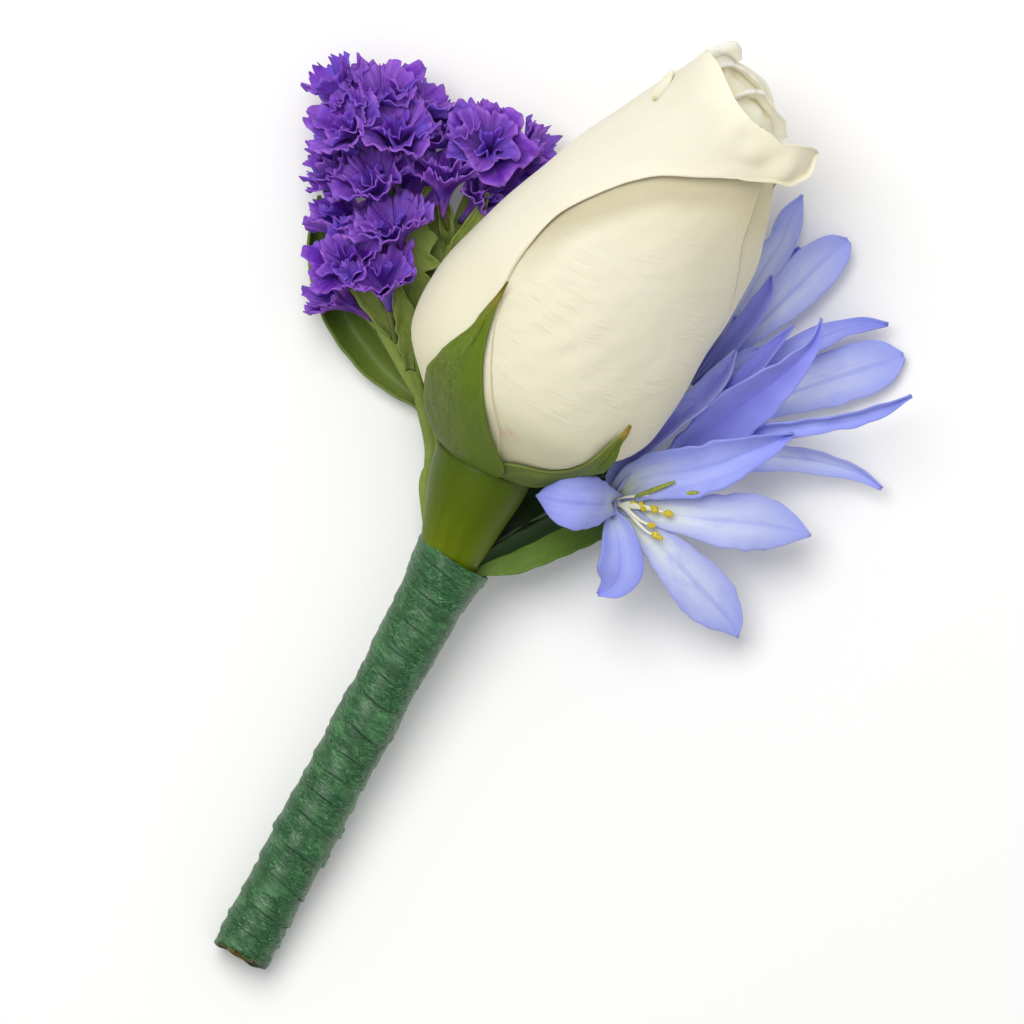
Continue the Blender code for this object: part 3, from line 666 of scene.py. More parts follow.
# the folded petals that fill the mouth: a bowl whose border climbs and sinks round the bud, with
# hollows set in it, each as depth, place to the right and to the front, and its two widths
heart = dict(
    border=[(-150, 55.3), (-120, 55.6), (-90, 54.6), (-60, 53.6), (-30, 52.6), (0, 51.8), (30, 51.0),
            (60, 49.4), (90, 49.0), (120, 49.8), (150, 51.4), (165, 53.0), (180, 54.6), (210, 55.3)],
    foot=3,          # the height it starts from
    middle=55.0,
    ruffle=0.15,
    mouth=9,         # the bud's radius at its mouth
    sunk=3.4,        # how far inside the bud's radius it climbs, before it widens to the inset
    inset=[(-150, 0.9), (0, 0.9), (25, 1.6), (45, 3.2), (105, 3.2), (130, 1.4), (150, 0.9), (210, 0.9)],
    hollows=[(0.35, -4.8, 3.5, 1.6, 2.2), (0.5, 1.0, -1.0, 3.2, 1.8)],
)


# the heart's rings: up inside the bud to the bowl's border, then in across the bowl to its middle.
# Its tone is how much of a hollow a place lies in
def heartRings():
    turn = np.linspace(-150, 210, 96, endpoint=False)[None, :]
    border = curve(heart["border"], turn)
    inset = curve(heart["inset"], turn)
    climb = np.linspace(0, 1, 30)[:, None]
    heights = heart["foot"] + (border - heart["foot"]) * climb
    radii = curve(bud["radius"], heights) - heart["sunk"] + (heart["sunk"] - inset) * ease(climb, 0.8, 1)
    share = np.linspace(0.97, 0.03, 34)[:, None]
    x, y = (share * heart["mouth"] * wave(np.radians(turn)) for wave in (np.sin, np.cos))
    bowl = border * share ** 2.2 + heart["middle"] * (1 - share ** 2.2)
    yellow = 0
    for depth, right, front, wide, deep in heart["hollows"]:
        hollow = bell(x, right, wide) * bell(y, front, deep)
        bowl = bowl - depth * hollow
        yellow = yellow + hollow
    bowl = bowl + heart["ruffle"] * waves(x * 1.2, y, 4, 51) * ease(share, 1, 0.8)
    inner = share * (curve(bud["radius"], bowl) - inset)
    heights, radii = np.concatenate([heights, bowl]), np.concatenate([radii, inner])
    tones = np.concatenate([0 * climb + 0 * border, yellow + 0 * border])
    return budPoint(turn + 0 * heights, heights, radii), tones


# a loose fold of a petal's edge on the bud's left: angle, height, distance off the bud, half its width
tongue = [(-66, 47.4, 0.05, 0.15), (-71, 48.1, 0.3, 0.65), (-77, 49.0, 0.55, 0.85), (-83, 49.9, 0.75, 0.7),
          (-87, 50.5, 0.8, 0.2)]

# painted shade on the front petal under the outer petal's margin: its reach and full distance in
# millimetres from the margin, and how strong it is along the margin
fold = dict(reach=5.6, full=1.4, along=[(0, 0), (0.35, 0), (0.5, 0.7), (0.6, 1), (1, 1)])


# how much painted shade a place gets under the outer petal's margin: 1 within the full distance of
# the margin, falling to 0 at the shade's reach, times an amount that varies along the margin
def shadeUnderMargin(grid):
    margin = route(petalGrid(petals["petal_outer_left"])[:, -1], 160)
    away = np.linalg.norm(grid[:, :, None] - margin, axis=-1)
    share = away.argmin(axis=-1) / len(margin)
    return ease(away.min(axis=-1), fold["reach"], fold["full"]) * curve(fold["along"], share)


# the loose fold as a blade along the bud's surface
def tongueShell():
    path = []
    for angle, height, off, half in tongue:
        place = budPoint(np.array(angle), np.array(height), curve(bud["radius"], height) + off)
        path.append([*place, half])
    look = dict(path=path, facing=[(-0.5, 0.1, 1), (-0.9, 0.1, 0.4)], cup=[(0, 0.2), (0.5, -0.35), (1, -0.1)],
                seed=4)
    return sheet(blade(look, 30, 13), 0.35, 44)


# the petals, the two scrolls inside them and the heart; petals are thinner at their margins
def makeRose():
    pale = [(0.45, colour(241, 234, 211)), (0.75, colour(236, 229, 204)), (1.0, colour(243, 238, 217))]
    # tones of the petals under the outer one: painted shade, darker and yellower towards their tops
    shadedTop = [(0.42, colour(240, 231, 206)), (0.6, colour(228, 217, 186)), (0.75, colour(214, 201, 162)),
              (1.0, colour(208, 194, 150))]
    light = [(0.45, colour(248, 242, 216)), (1.0, colour(250, 246, 224))]
    skins = {
        "ivory": petalFinish("ivoryPetal", pale),
        # the front petal's hollow colour is painted shade under the outer petal's margin
        "creased": petalFinish("creasedPetal", shadedTop, hollow=colour(204, 194, 163), creased=True),
        "shadedTop": petalFinish("shadedTopPetal", shadedTop),
        "inner": petalFinish("innerPetal", light, soft=0.7, depth=3),
    }
    for name, look in petals.items():
        grid = rolledPetal(look)
        u = np.linspace(0, 1, grid.shape[1])
        wall = bud["wall"] * (1 - 0.7 * np.maximum(bell(u, 0, 0.03), bell(u, 1, 0.03)))[None, :]
        shells = [sheet(grid, wall, look["seed"], centred=False)]
        if name == "petal_outer_front":
            # the front petal's look carries the painted shade under the outer petal's margin
            tones = shells[0][3]
            tones[:, 1] = np.tile(shadeUnderMargin(grid).reshape(-1), 2)
        if name == "petal_outer_left":
            shells.append(tongueShell())
        makePiece(name, shells, skins[look.get("skin", "ivory")], [name])
    for name, look in scrolls.items():
        shell = sheet(scrollGrid(look), bud["wall"], look["seed"], centred=False)
        makePiece(name, [shell], skins["inner"], [name])
    rings, yellow = heartRings()
    folds = petalFinish("heartPetal", light, hollow=colour(246, 236, 192), soft=0.7, depth=3)
    makePiece("rose_heart", [closedRings(rings, yellow)], folds, ["rose_heart"])


makeRose()
print("rosebud done")


# the rose's stem and hip: radius by place along the handle
hip = dict(
    radius=[(-0.3, 1.75), (38, 1.75), (44, 1.9), (49, 2.4), (52, 3.0), (54.5, 3.75), (57, 4.35), (60, 5.0),
            (63, 5.75), (65, 6.0), (66.4, 5.9), (67.2, 5.0)],
    mouth=(-0.6, 0.8),    # how far off the handle's middle it is at the tape's mouth, sideways and up
    ends=(-0.3, 67.2),
    swells=48,            # from here on it swells, and its rows lie closer
    rows=(40, 90),
    sides=48,
    ridges=0.07,
)

# the thin stems in the tape, in their order round the rose's stem
thinStems = ["statice_stem_left", "statice_stem_middle", "statice_stem_right", "leaf_left",
             "floret_back", "floret_middle", "floret_front", "leaf_right"]
thinStem = dict(
    radius=0.45,
    around=[(0, 1.75), (43, 1.8), (49, 2.3), (55, 2.95)],    # the radius of what they lie round
    gap=0.28,
    middle=-84,     # degrees round the handle to the middle of the row
    step=1.15,      # between neighbours at the mouth, in millimetres
    stations=(-0.2, 9, 18, 27, 35, 42, 48, 52),
)


# the middle of the handle, a straight line that rises from its cut end
def handleAxis(y):
    y = np.asarray(y, float)
    return np.stack([0 * y, y, handle["endHeight"] + y * handle["rise"]], -1)


# up the handle, then off its middle towards its mouth, then straight on to the bud's base
def stemAxis(y):
    y = np.asarray(y, float)
    shift = ease(y, 40, handle["length"])
    inside = handleAxis(y) + np.stack([shift * hip["mouth"][0], 0 * y, shift * hip["mouth"][1]], -1)
    mouth = handleAxis(handle["length"]) + [hip["mouth"][0], 0, hip["mouth"][1]]
    beyond = ((y - handle["length"]) / (bud["base"][1] - handle["length"]))[..., None]
    return np.where(y[..., None] > handle["length"], mouth + beyond * (bud["base"] - mouth), inside)


# a thin stem's place in the bundle: on a ring round the rose's stem, drawn in below it at the mouth
def bundlePoint(name, y):
    place = thinStems.index(name) - (len(thinStems) - 1) / 2
    ring = curve(thinStem["around"], y) + thinStem["gap"] + thinStem["radius"]
    spread = 2 * math.pi / len(thinStems)
    step = spread + (thinStem["step"] / ring - spread) * ease(y, 0, 42)
    angle = math.radians(thinStem["middle"]) + place * step
    return handleAxis(y) + ring * np.array([math.cos(angle), 0, math.sin(angle)])


# a thin stem's points: its places in the bundle up to the mouth, then the points outside it
def fromBundle(name, outside):
    inside = [bundlePoint(name, y) for y in thinStem["stations"]]
    return inside + [np.array(place, float) for place in outside]


# a leaf's green: clouds, long veins, a fine net between them and a light line along the margins; the
# left-half colour, where given, is painted shade over the blade's left half
def leafFinish(name, tones, veinTone, roughness=0.5, shadedLeftHalf=None, rightHalf=None, net=0.3, **sockets):
    look = Finish(name, roughness, **sockets)
    lie, face = look.field("lie"), look.field("look")
    base = look.ramp(look.part(face, 0), tones)
    cloud = look.noise(lie, (0.35, 0.18, 1), 3)
    base = look.over(base, cloud, [(0.3, 0.0), (0.75, 0.45)], veinTone)
    veins = look.noise(lie, (2.4, 0.22, 1), 3, warp=0.6)
    base = look.over(base, veins, [(0.5, 0.0), (0.72, 0.45)], veinTone)
    cells = look.cells(lie, (1.3, 0.75, 1))
    base = look.over(base, cells, [(0.0, net), (0.1, 0.0)], veinTone)
    base = look.over(base, look.part(face, 1), [(0.86, 0.0), (1.0, 0.6)], veinTone)
    # painted shade over the left half of the blade
    if shadedLeftHalf:
        base = look.over(base, look.part(lie, 0), [(0.0, 1.0), (0.12, 0.0)], shadedLeftHalf)
    if rightHalf:
        base = look.over(base, look.part(lie, 0), [(0.0, 0.0), (0.5, 0.6)], rightHalf)
    look.base(base)
    grain = look.bump(look.noise(lie, (9, 7, 1), 2), 0.15, 0.08)
    look.bump(veins, 0.35, 0.15, under=grain)
    return look.material


# the rose's stem, whose end swells into the hip under the sepals, with shallow ridges on the swell
def makeHip():
    look = Finish("hipGreen", 0.38, Subsurface_Weight=0.12, Subsurface_Radius=(0.6, 1.0, 0.3),
                  Subsurface_Scale=1.0 * mm, Specular_IOR_Level=0.12)
    lie, face = look.field("lie"), look.field("look")
    tone = look.ramp(look.part(face, 0), [(0.0, colour(120, 96, 52)), (0.012, colour(110, 92, 44)),
                                          (0.02, colour(96, 110, 50)), (0.8, colour(100, 116, 6)),
                                          (0.9, colour(84, 100, 8)), (1.0, colour(74, 92, 24))])
    streaks = look.noise(lie, (0.8, 0.07, 1), 3, warp=0.3)
    tone = look.over(tone, streaks, [(0.4, 0.0), (0.75, 0.55)], colour(62, 80, 0))
    look.base(tone)
    look.bump(look.noise(lie, (3.5, 0.6, 1), 3), 0.15, 0.1)
    below = np.linspace(hip["ends"][0], hip["swells"], hip["rows"][0], endpoint=False)
    stations = np.concatenate([below, np.linspace(hip["swells"], hip["ends"][1], hip["rows"][1])])
    radii = curve(hip["radius"], stations)[:, None]
    turn = np.linspace(0, 2 * math.pi, hip["sides"], endpoint=False)[None, :]
    ridges = hip["ridges"] / 3 * waves(turn * 2.0, stations[:, None] * 0.1, 4, 5) * ease(radii, 2.5, 5)
    radii = radii * (1 + ridges)
    shell = tube(stemAxis(stations), radii, hip["sides"])
    makePiece("rose_stem", [shell], look.material, ["rose_stem"])


# the calyx's distance from the bud's middle line by height
sepalProfile = [(-0.4, 5.2), (0.2, 6.8), (1.5, 8.7), (3.7, 10.9), (5.6, 12.8), (8, 15.0), (10, 16.2),
                (12, 16.9), (16, 17.25), (22, 16.6), (30, 15.0)]

# each sepal: its margins by height as angles, the slant of its foot, the lift along it, and its
# raised edges, fold and rib in millimetres
sepals = {
    "sepal_front": dict(
        seed=2, heights=(-1.4, 22.4),
        left=[(-1.4, -58), (1, -64), (4, -60), (6, -53), (8.7, -46.5), (12.2, -39.5), (16.4, -34),
              (19.4, -33.3), (22.4, -32.6)],
        right=[(-1.4, 22), (1.5, 17), (3.3, 6), (5, -2.5), (7.3, -9), (11.8, -18.5), (15.8, -25.5),
               (19.5, -30.2), (22.4, -32.4)],
        slant=0.2, lift=[(0, 0), (0.5, 0.1), (0.85, 0.1), (1, 0.5)], edge=0.35, fold=0.3, rib=0.35),
    "sepal_right": dict(
        seed=5, heights=(0.2, 15.8),
        left=[(0.2, 14), (1.5, 10), (3, 22), (3.9, 40), (5.2, 49), (6.8, 48), (8.6, 45), (12, 44),
              (14.2, 45.6), (15.8, 46.4)],
        right=[(0.2, 88), (2, 84), (4.5, 76), (7, 67), (9, 58), (12.3, 50.5), (14.2, 48), (15.8, 46.7)],
        slant=0.2, lift=[(0, 0), (0.3, 0.2), (0.8, 0), (1, 0.2)], edge=0.2, fold=0.2, rib=0.3,
        hug=0.85),
    "sepal_lower_right": dict(
        seed=7, heights=(-0.4, 12.5),
        left=[(-0.4, 94), (6, 102), (12.5, 113)], right=[(-0.4, 146), (6, 134), (12.5, 115)],
        slant=0, lift=[(0, 0), (1, 0.3)], edge=0.3, fold=0.3, rib=0.4),
    "sepal_under": dict(
        seed=9, heights=(-0.4, 9.5),
        left=[(-0.4, 150), (4.5, 162), (9.5, 179)], right=[(-0.4, 210), (4.5, 198), (9.5, 181)],
        slant=0, lift=[(0, 0), (0.5, -0.2), (1, -0.4)], edge=0.1, fold=0.3, rib=0.4),
    "sepal_lower_left": dict(
        seed=11, heights=(-0.4, 13.5),
        left=[(-0.4, 216), (6.5, 229), (13.5, 245)], right=[(-0.4, 268), (6.5, 259), (13.5, 247)],
        slant=0, lift=[(0, 0), (1, 0.2)], edge=0.3, fold=0.3, rib=0.4),
}


# a sepal: rows climb the bud from its base to a tip, columns cross between two margins, and its
# distance from the bud is the calyx profile plus a lift, raised margins and a groove down its middle
def sepalGrid(look):
    low, high = look["heights"]
    t = np.linspace(0, 1, 72)[:, None]
    u = np.linspace(0, 1, 37)[None, :]
    height = low + (high - low) * t ** 0.9
    angle = curve(look["left"], height) * (1 - u) + curve(look["right"], height) * u
    across = 2 * u - 1
    radius = curve(sepalProfile, height) + curve(look["lift"], t)
    flank = curve(petals["petal_outer_front"]["flank"], height)
    beside = ease(angle, *bud["flankAngles"])
    radius = radius + flank * beside * (1 - ease(angle, 150, 190))
    radius = radius + look["edge"] * across ** 4 * ease(t, 0.03, 0.3)
    radius = radius - look["rib"] * bell(across, 0.0, 0.14) * ease(t, 0, 0.3) * (1 - ease(t, 0.7, 1))
    radius = radius + look["fold"] * (1 - across ** 2) * bell(t, 0.45, 0.35)
    radius = radius + 0.1 * waves(angle * 0.25, height, 3.5, look["seed"]) * ease(t, 0, 0.2)
    radius = radius + 0.035 * waves(angle * 0.3, height, 1.1, look["seed"] + 1) * ease(t, 0, 0.1)
    height = height + look["slant"] * ease(angle, -45, 10) * (1 - ease(t, 0.05, 0.35)) + 0 * u
    close = curve(bud["radius"], height) + flank * beside + 0.3    # where a sepal hugs the bud
    hug = look.get("hug", 0) * ease(-across, -0.2, 1)
    return budPoint(angle, height, radius * (1 - hug) + close * hug)


# the five sepals, thinner towards their tips
def makeSepals():
    finish = leafFinish("sepalGreen",
                        [(0.0, colour(84, 98, 38)), (0.35, colour(84, 100, 34)),
                         (0.6, colour(84, 108, 12)), (0.82, colour(104, 112, 22)),
                         (0.9, colour(160, 122, 44)), (1.0, colour(112, 58, 24))], colour(118, 130, 66),
                        0.6, rightHalf=colour(86, 110, 6), net=0.45, Specular_IOR_Level=0.15,
                        Subsurface_Weight=0.1, Subsurface_Radius=(0.5, 0.8, 0.2),
                        Subsurface_Scale=1.0 * mm)
    for name, look in sepals.items():
        grid = sepalGrid(look)
        wall = 0.32 * (1 - 0.75 * ease(np.linspace(0, 1, len(grid)), 0.75, 1))[:, None]
        makePiece(name, [sheet(grid, wall, look["seed"])], finish, [name])


makeHip()
makeSepals()
print("stem and sepals done")


# the sleeve: radius by place along the handle, and the helix that its laps follow
tape = dict(
    radius=[(-1, 3.5), (2, 3.55), (13, 3.6), (16, 3.75), (22, 3.62), (28, 3.62), (32, 3.85), (37, 3.6),
            (40, 3.8), (46, 3.98), (49, 4.08), (52, 4.56), (54.5, 4.86)],
    pitch=3.5,
    smile=0.55,     # how far each wrap's edge sags towards the cut end at the top
    lap=0.2,        # how far an edge stands over the lap before it
    scatter=12.9898,    # turns a lap's number into an angle without order, for looser and tighter laps
    wall=0.3,
    rows=420,
    sides=120,
    cutMiddle=-0.25,
    cutSlant=0.85,
    mouthSlant=0.12,
    mouthRadius=4.9,
    middleRadius=3.7,
)


# how many laps have gone by at a place on the sleeve: a helix of uneven pitch with sagging edges
def lapsWound(y, turn):
    wander = 1.0 * waves(y, 0 * turn, 15, 34) + 0.35 * waves(y, 0 * turn, 5, 44)
    tilt = 0.4 * waves(np.sin(turn) * 3, y, 12, 35) - 0.4 * waves(0 * turn, y, 12, 35)
    return (y + wander + tape["smile"] * np.sin(turn) + tilt) / tape["pitch"] - turn / (2 * math.pi)


# how far along the handle a place lies if the wrap is followed back to the top
def wrapDrift(y, turn):
    return y + tape["smile"] * np.sin(turn) - turn * tape["pitch"] / (2 * math.pi)


# a length round the sleeve that is the same at both ends of a turn, so that fields meet there
def seamless(turn):
    return 8 * np.sin(turn / 2)


# the sleeve's rings: radius along the handle plus a ramp that falls from each lap's edge to the
# next, and creases that run with the wrap and come and go along it
def tapeRings(inner):
    rows = 40 if inner else tape["rows"]
    v = np.linspace(0, 1, rows)[:, None]
    turn = np.linspace(0, 2 * math.pi, tape["sides"], endpoint=False)[None, :]
    low = tape["cutMiddle"] + tape["cutSlant"] * np.sin(turn)
    low = low + 0.12 * np.sin(3 * turn + 1) + 0.07 * np.sin(8 * turn)
    high = handle["length"] - tape["mouthSlant"] * np.cos(turn) * tape["mouthRadius"] + 0.1 * np.sin(3 * turn)
    y = low + (high - low) * v
    radius = curve(tape["radius"], y)
    if inner:
        radius = radius - tape["wall"]
    else:
        wound = lapsWound(y, turn)
        lap = np.floor(wound)
        part = wound - lap
        loose = 0.7 + 0.45 * np.sin(lap * tape["scatter"])
        edge = tape["lap"] * loose * (1 - ease(part, 0.0, 0.7))
        radius = radius + edge * (0.75 + 0.25 * np.sin(turn * 2 + lap * 2))
        radius = radius - 0.08 * bell(part, 1.0, 0.04) + 0.05 * bell(part, 0.05, 0.05)
        around, drift = seamless(turn), wrapDrift(y, turn)
        patch = ease(waves(around, drift, 6, 38), -0.4, 1.2)
        radius = radius + 0.05 * patch * waves(around * 0.3, drift, 1.0, 36)
        radius = radius + 0.05 * waves(around * 0.7, drift, 2.8, 37)
        radius = radius + 0.03 * waves(around * 1.4, drift * 1.2, 1.6, 46) * patch
    up = np.array([0, -math.sin(lean), math.cos(lean)])
    circle = np.cos(turn)[..., None] * np.array([1, 0, 0]) + np.sin(turn)[..., None] * up
    return handleAxis(y) + radius[..., None] * circle, y, turn


# the tape's green has fibres, pale strands and patches, and painted shade darkens it beside the laps' edges
def tapeFinish():
    look = Finish("tapeGreen", 0.36, Specular_IOR_Level=0.42)
    lie, face = look.field("lie"), look.field("look")
    fibres = look.noise(lie, (0.3, 1.15, 1), 4, warp=3.0)
    tone = look.mix(look.ramp(fibres, [(0.4, 0.0), (0.7, 1.0)]), colour(18, 66, 32), colour(54, 112, 62))
    strands = look.noise(lie, (0.5, 1.7, 1), 3, warp=4.0)
    tone = look.over(tone, strands, [(0.55, 0.0), (0.62, 0.7), (0.69, 0.0)], colour(124, 170, 118))
    patches = look.noise(lie, (0.22, 0.35, 1), 3, warp=1.0)
    tone = look.over(tone, patches, [(0.5, 0.0), (0.62, 0.45)], colour(88, 142, 88))
    cloud = look.noise(lie, (0.4, 0.5, 1), 3)
    tone = look.over(tone, cloud, [(0.4, 0.0), (0.66, 0.7)], colour(26, 70, 34))
    # painted shade: darker green beside the laps' edges and inside the sleeve
    tone = look.mix(look.part(face, 1), tone, colour(14, 40, 22))
    look.base(tone)
    crinkle = look.noise(lie, (0.7, 2.0, 1), 3, warp=1.5)
    fine = look.bump(crinkle, 0.35, 0.14)
    fine = look.bump(strands, 0.3, 0.12, under=fine)
    look.bump(fibres, 0.35, 0.2, under=fine)
    return look.material


# the sleeve, hollow from end to end. Its "look" holds the share along, how much painted shade lies
# beside the laps' edges (half of it over all of the inside), and the side (1 outside, 0 inside)
def makeTape():
    outer, y, turn = tapeRings(False)
    inner, _, _ = tapeRings(True)
    rings = np.concatenate([outer, inner[::-1]])
    rows, sides = rings.shape[:2]
    drift = wrapDrift(y, turn)
    around = turn * tape["middleRadius"] + 0 * y
    part = lapsWound(y, turn)
    part = part - np.floor(part)
    # the painted shade at the laps' edges is stronger in some places than in others
    edgeShadeStrength = 0.25 + 0.6 * ease(waves(seamless(turn), y, 5, 39), -0.3, 0.8)
    dark = np.maximum(bell(part, 1.0, 0.04), bell(part, 0.0, 0.015)) * edgeShadeStrength
    lies = np.stack([around, drift, 0 * around], -1).reshape(-1, 3)
    looks = np.stack([y / handle["length"] + 0 * turn, dark, 1 + 0 * around], -1).reshape(-1, 3)
    pad = np.zeros((inner.shape[0] * sides, 3))
    lies, looks = np.concatenate([lies, pad]), np.concatenate([looks, pad + [0.5, 0.5, 0]])
    shell = (rings.reshape(-1, 3), ringFaces(rows, sides), lies, looks)
    makePiece("floral_tape", [shell], tapeFinish(), ["floral_tape"])


makeTape()
print("tape done")


# each leaf's path holds x, y, z and half its width
leaves = {
    "leaf_left": dict(
        stalk=[(-1.7, 58.5, 6.0), (-5.0, 61.6, 4.6), (-8.6, 65.3, 3.2), (-11.4, 68.0, 2.4)],
        path=[(-10.6, 67.6, 2.8, 0.4), (-12.6, 68.7, 2.2, 0.9), (-14.5, 69.3, 1.8, 1.4),
              (-17.0, 69.9, 1.4, 1.85), (-20.1, 70.95, 1.2, 2.2), (-23.0, 72.3, 1.2, 2.35),
              (-26.1, 74.2, 1.2, 2.35), (-29.7, 77.4, 1.4, 2.1), (-32.6, 80.9, 2.0, 1.5),
              (-34.9, 84.9, 3.4, 0.1)],
        facing=[(0.1, -0.1, 1), (0.15, -0.2, 1)], cup=[(0, 0.2), (0.35, 2.0), (0.8, 2.2), (1, 0.3)],
        fold=[(0, 0), (0.5, 0.3), (1, 0)], ripple=0.12, seed=4),
    "leaf_right": dict(
        stalk=[(2.4, 54.0, 9.4), (4.6, 57.0, 9.2), (6.4, 59.6, 8.4)],
        path=[(2.4, 53.2, 9.6, 0.5), (3.6, 55.4, 9.8, 1.6), (5.8, 58.0, 9.4, 2.5), (8.2, 61.4, 8.4, 2.9),
              (10.5, 64.6, 6.8, 3.0), (14, 68.4, 4.8, 2.7), (18, 71.5, 3.1, 1.6), (20.6, 73.4, 2.2, 0.1)],
        facing=[(0.5, -0.35, 1), (0.3, -0.2, 1)], cup=[(0, 0.1), (1, 0.1)],
        fold=[(0, 0.6), (0.3, 1.5), (0.7, 1.5), (1, 0.1)],
        ripple=0.1, seed=6),
}

# the right leaf's other half, folded down behind it and in its shade, its green painted dark as shade
shadedHalf = dict(
    path=[(3.0, 55.0, 7.4, 0.7), (3.9, 58.0, 7.2, 2.2), (5.4, 61.6, 6.6, 3.1), (7.7, 65.0, 5.6, 3.4),
          (10.4, 68.4, 4.4, 3.0), (13.4, 71.2, 3.6, 1.9), (16.2, 73.4, 3.0, 0.1)],
    facing=[(-0.2, 0.2, 1)], cup=[(0, 0.1), (1, 0.1)], fold=[(0, 0.2), (0.5, 0.5), (1, 0.1)], ripple=0.1,
    seed=9,
)


# two leaves, each a stalk from the bundle and a blade, and the shaded half beside the right one
def makeLeaves():
    left = leafFinish("broadLeafGreen",
                      [(0.0, colour(118, 132, 66)), (0.3, colour(96, 116, 44)),
                       (0.6, colour(76, 104, 30)), (1.0, colour(48, 78, 22))], colour(112, 130, 58), 0.45,
                      Specular_IOR_Level=0.3)
    # the right leaf's left half is painted dark as shade from the rose
    right = leafFinish("narrowLeafGreen", [(0.0, colour(84, 114, 28)), (1.0, colour(66, 98, 24))],
                       colour(104, 130, 52), 0.5, shadedLeftHalf=colour(26, 52, 12), Specular_IOR_Level=0.25)
    # painted shade: a darker green for the folded-down half
    shaded = leafFinish("shadedLeafGreen", [(0.0, colour(34, 56, 16)), (1.0, colour(24, 48, 14))],
                        colour(48, 74, 26), 0.45, Specular_IOR_Level=0.3)
    half = sheet(blade(shadedHalf, 60, 25), 0.25, shadedHalf["seed"])
    makePiece("shaded_leaf_half", [half], shaded)
    for name, look in leaves.items():
        path = route(fromBundle(name, look["stalk"]), 60)
        stalk = tube(path, curve([(0, 0.45), (0.8, 0.5), (1, 0.3)], np.linspace(0, 1, 60)), 12)
        shell = sheet(blade(look, 70, 33), 0.3, look["seed"])
        makePiece(name, [stalk, shell], left if name == "leaf_left" else right, [name])


makeLeaves()
print("leaves done")
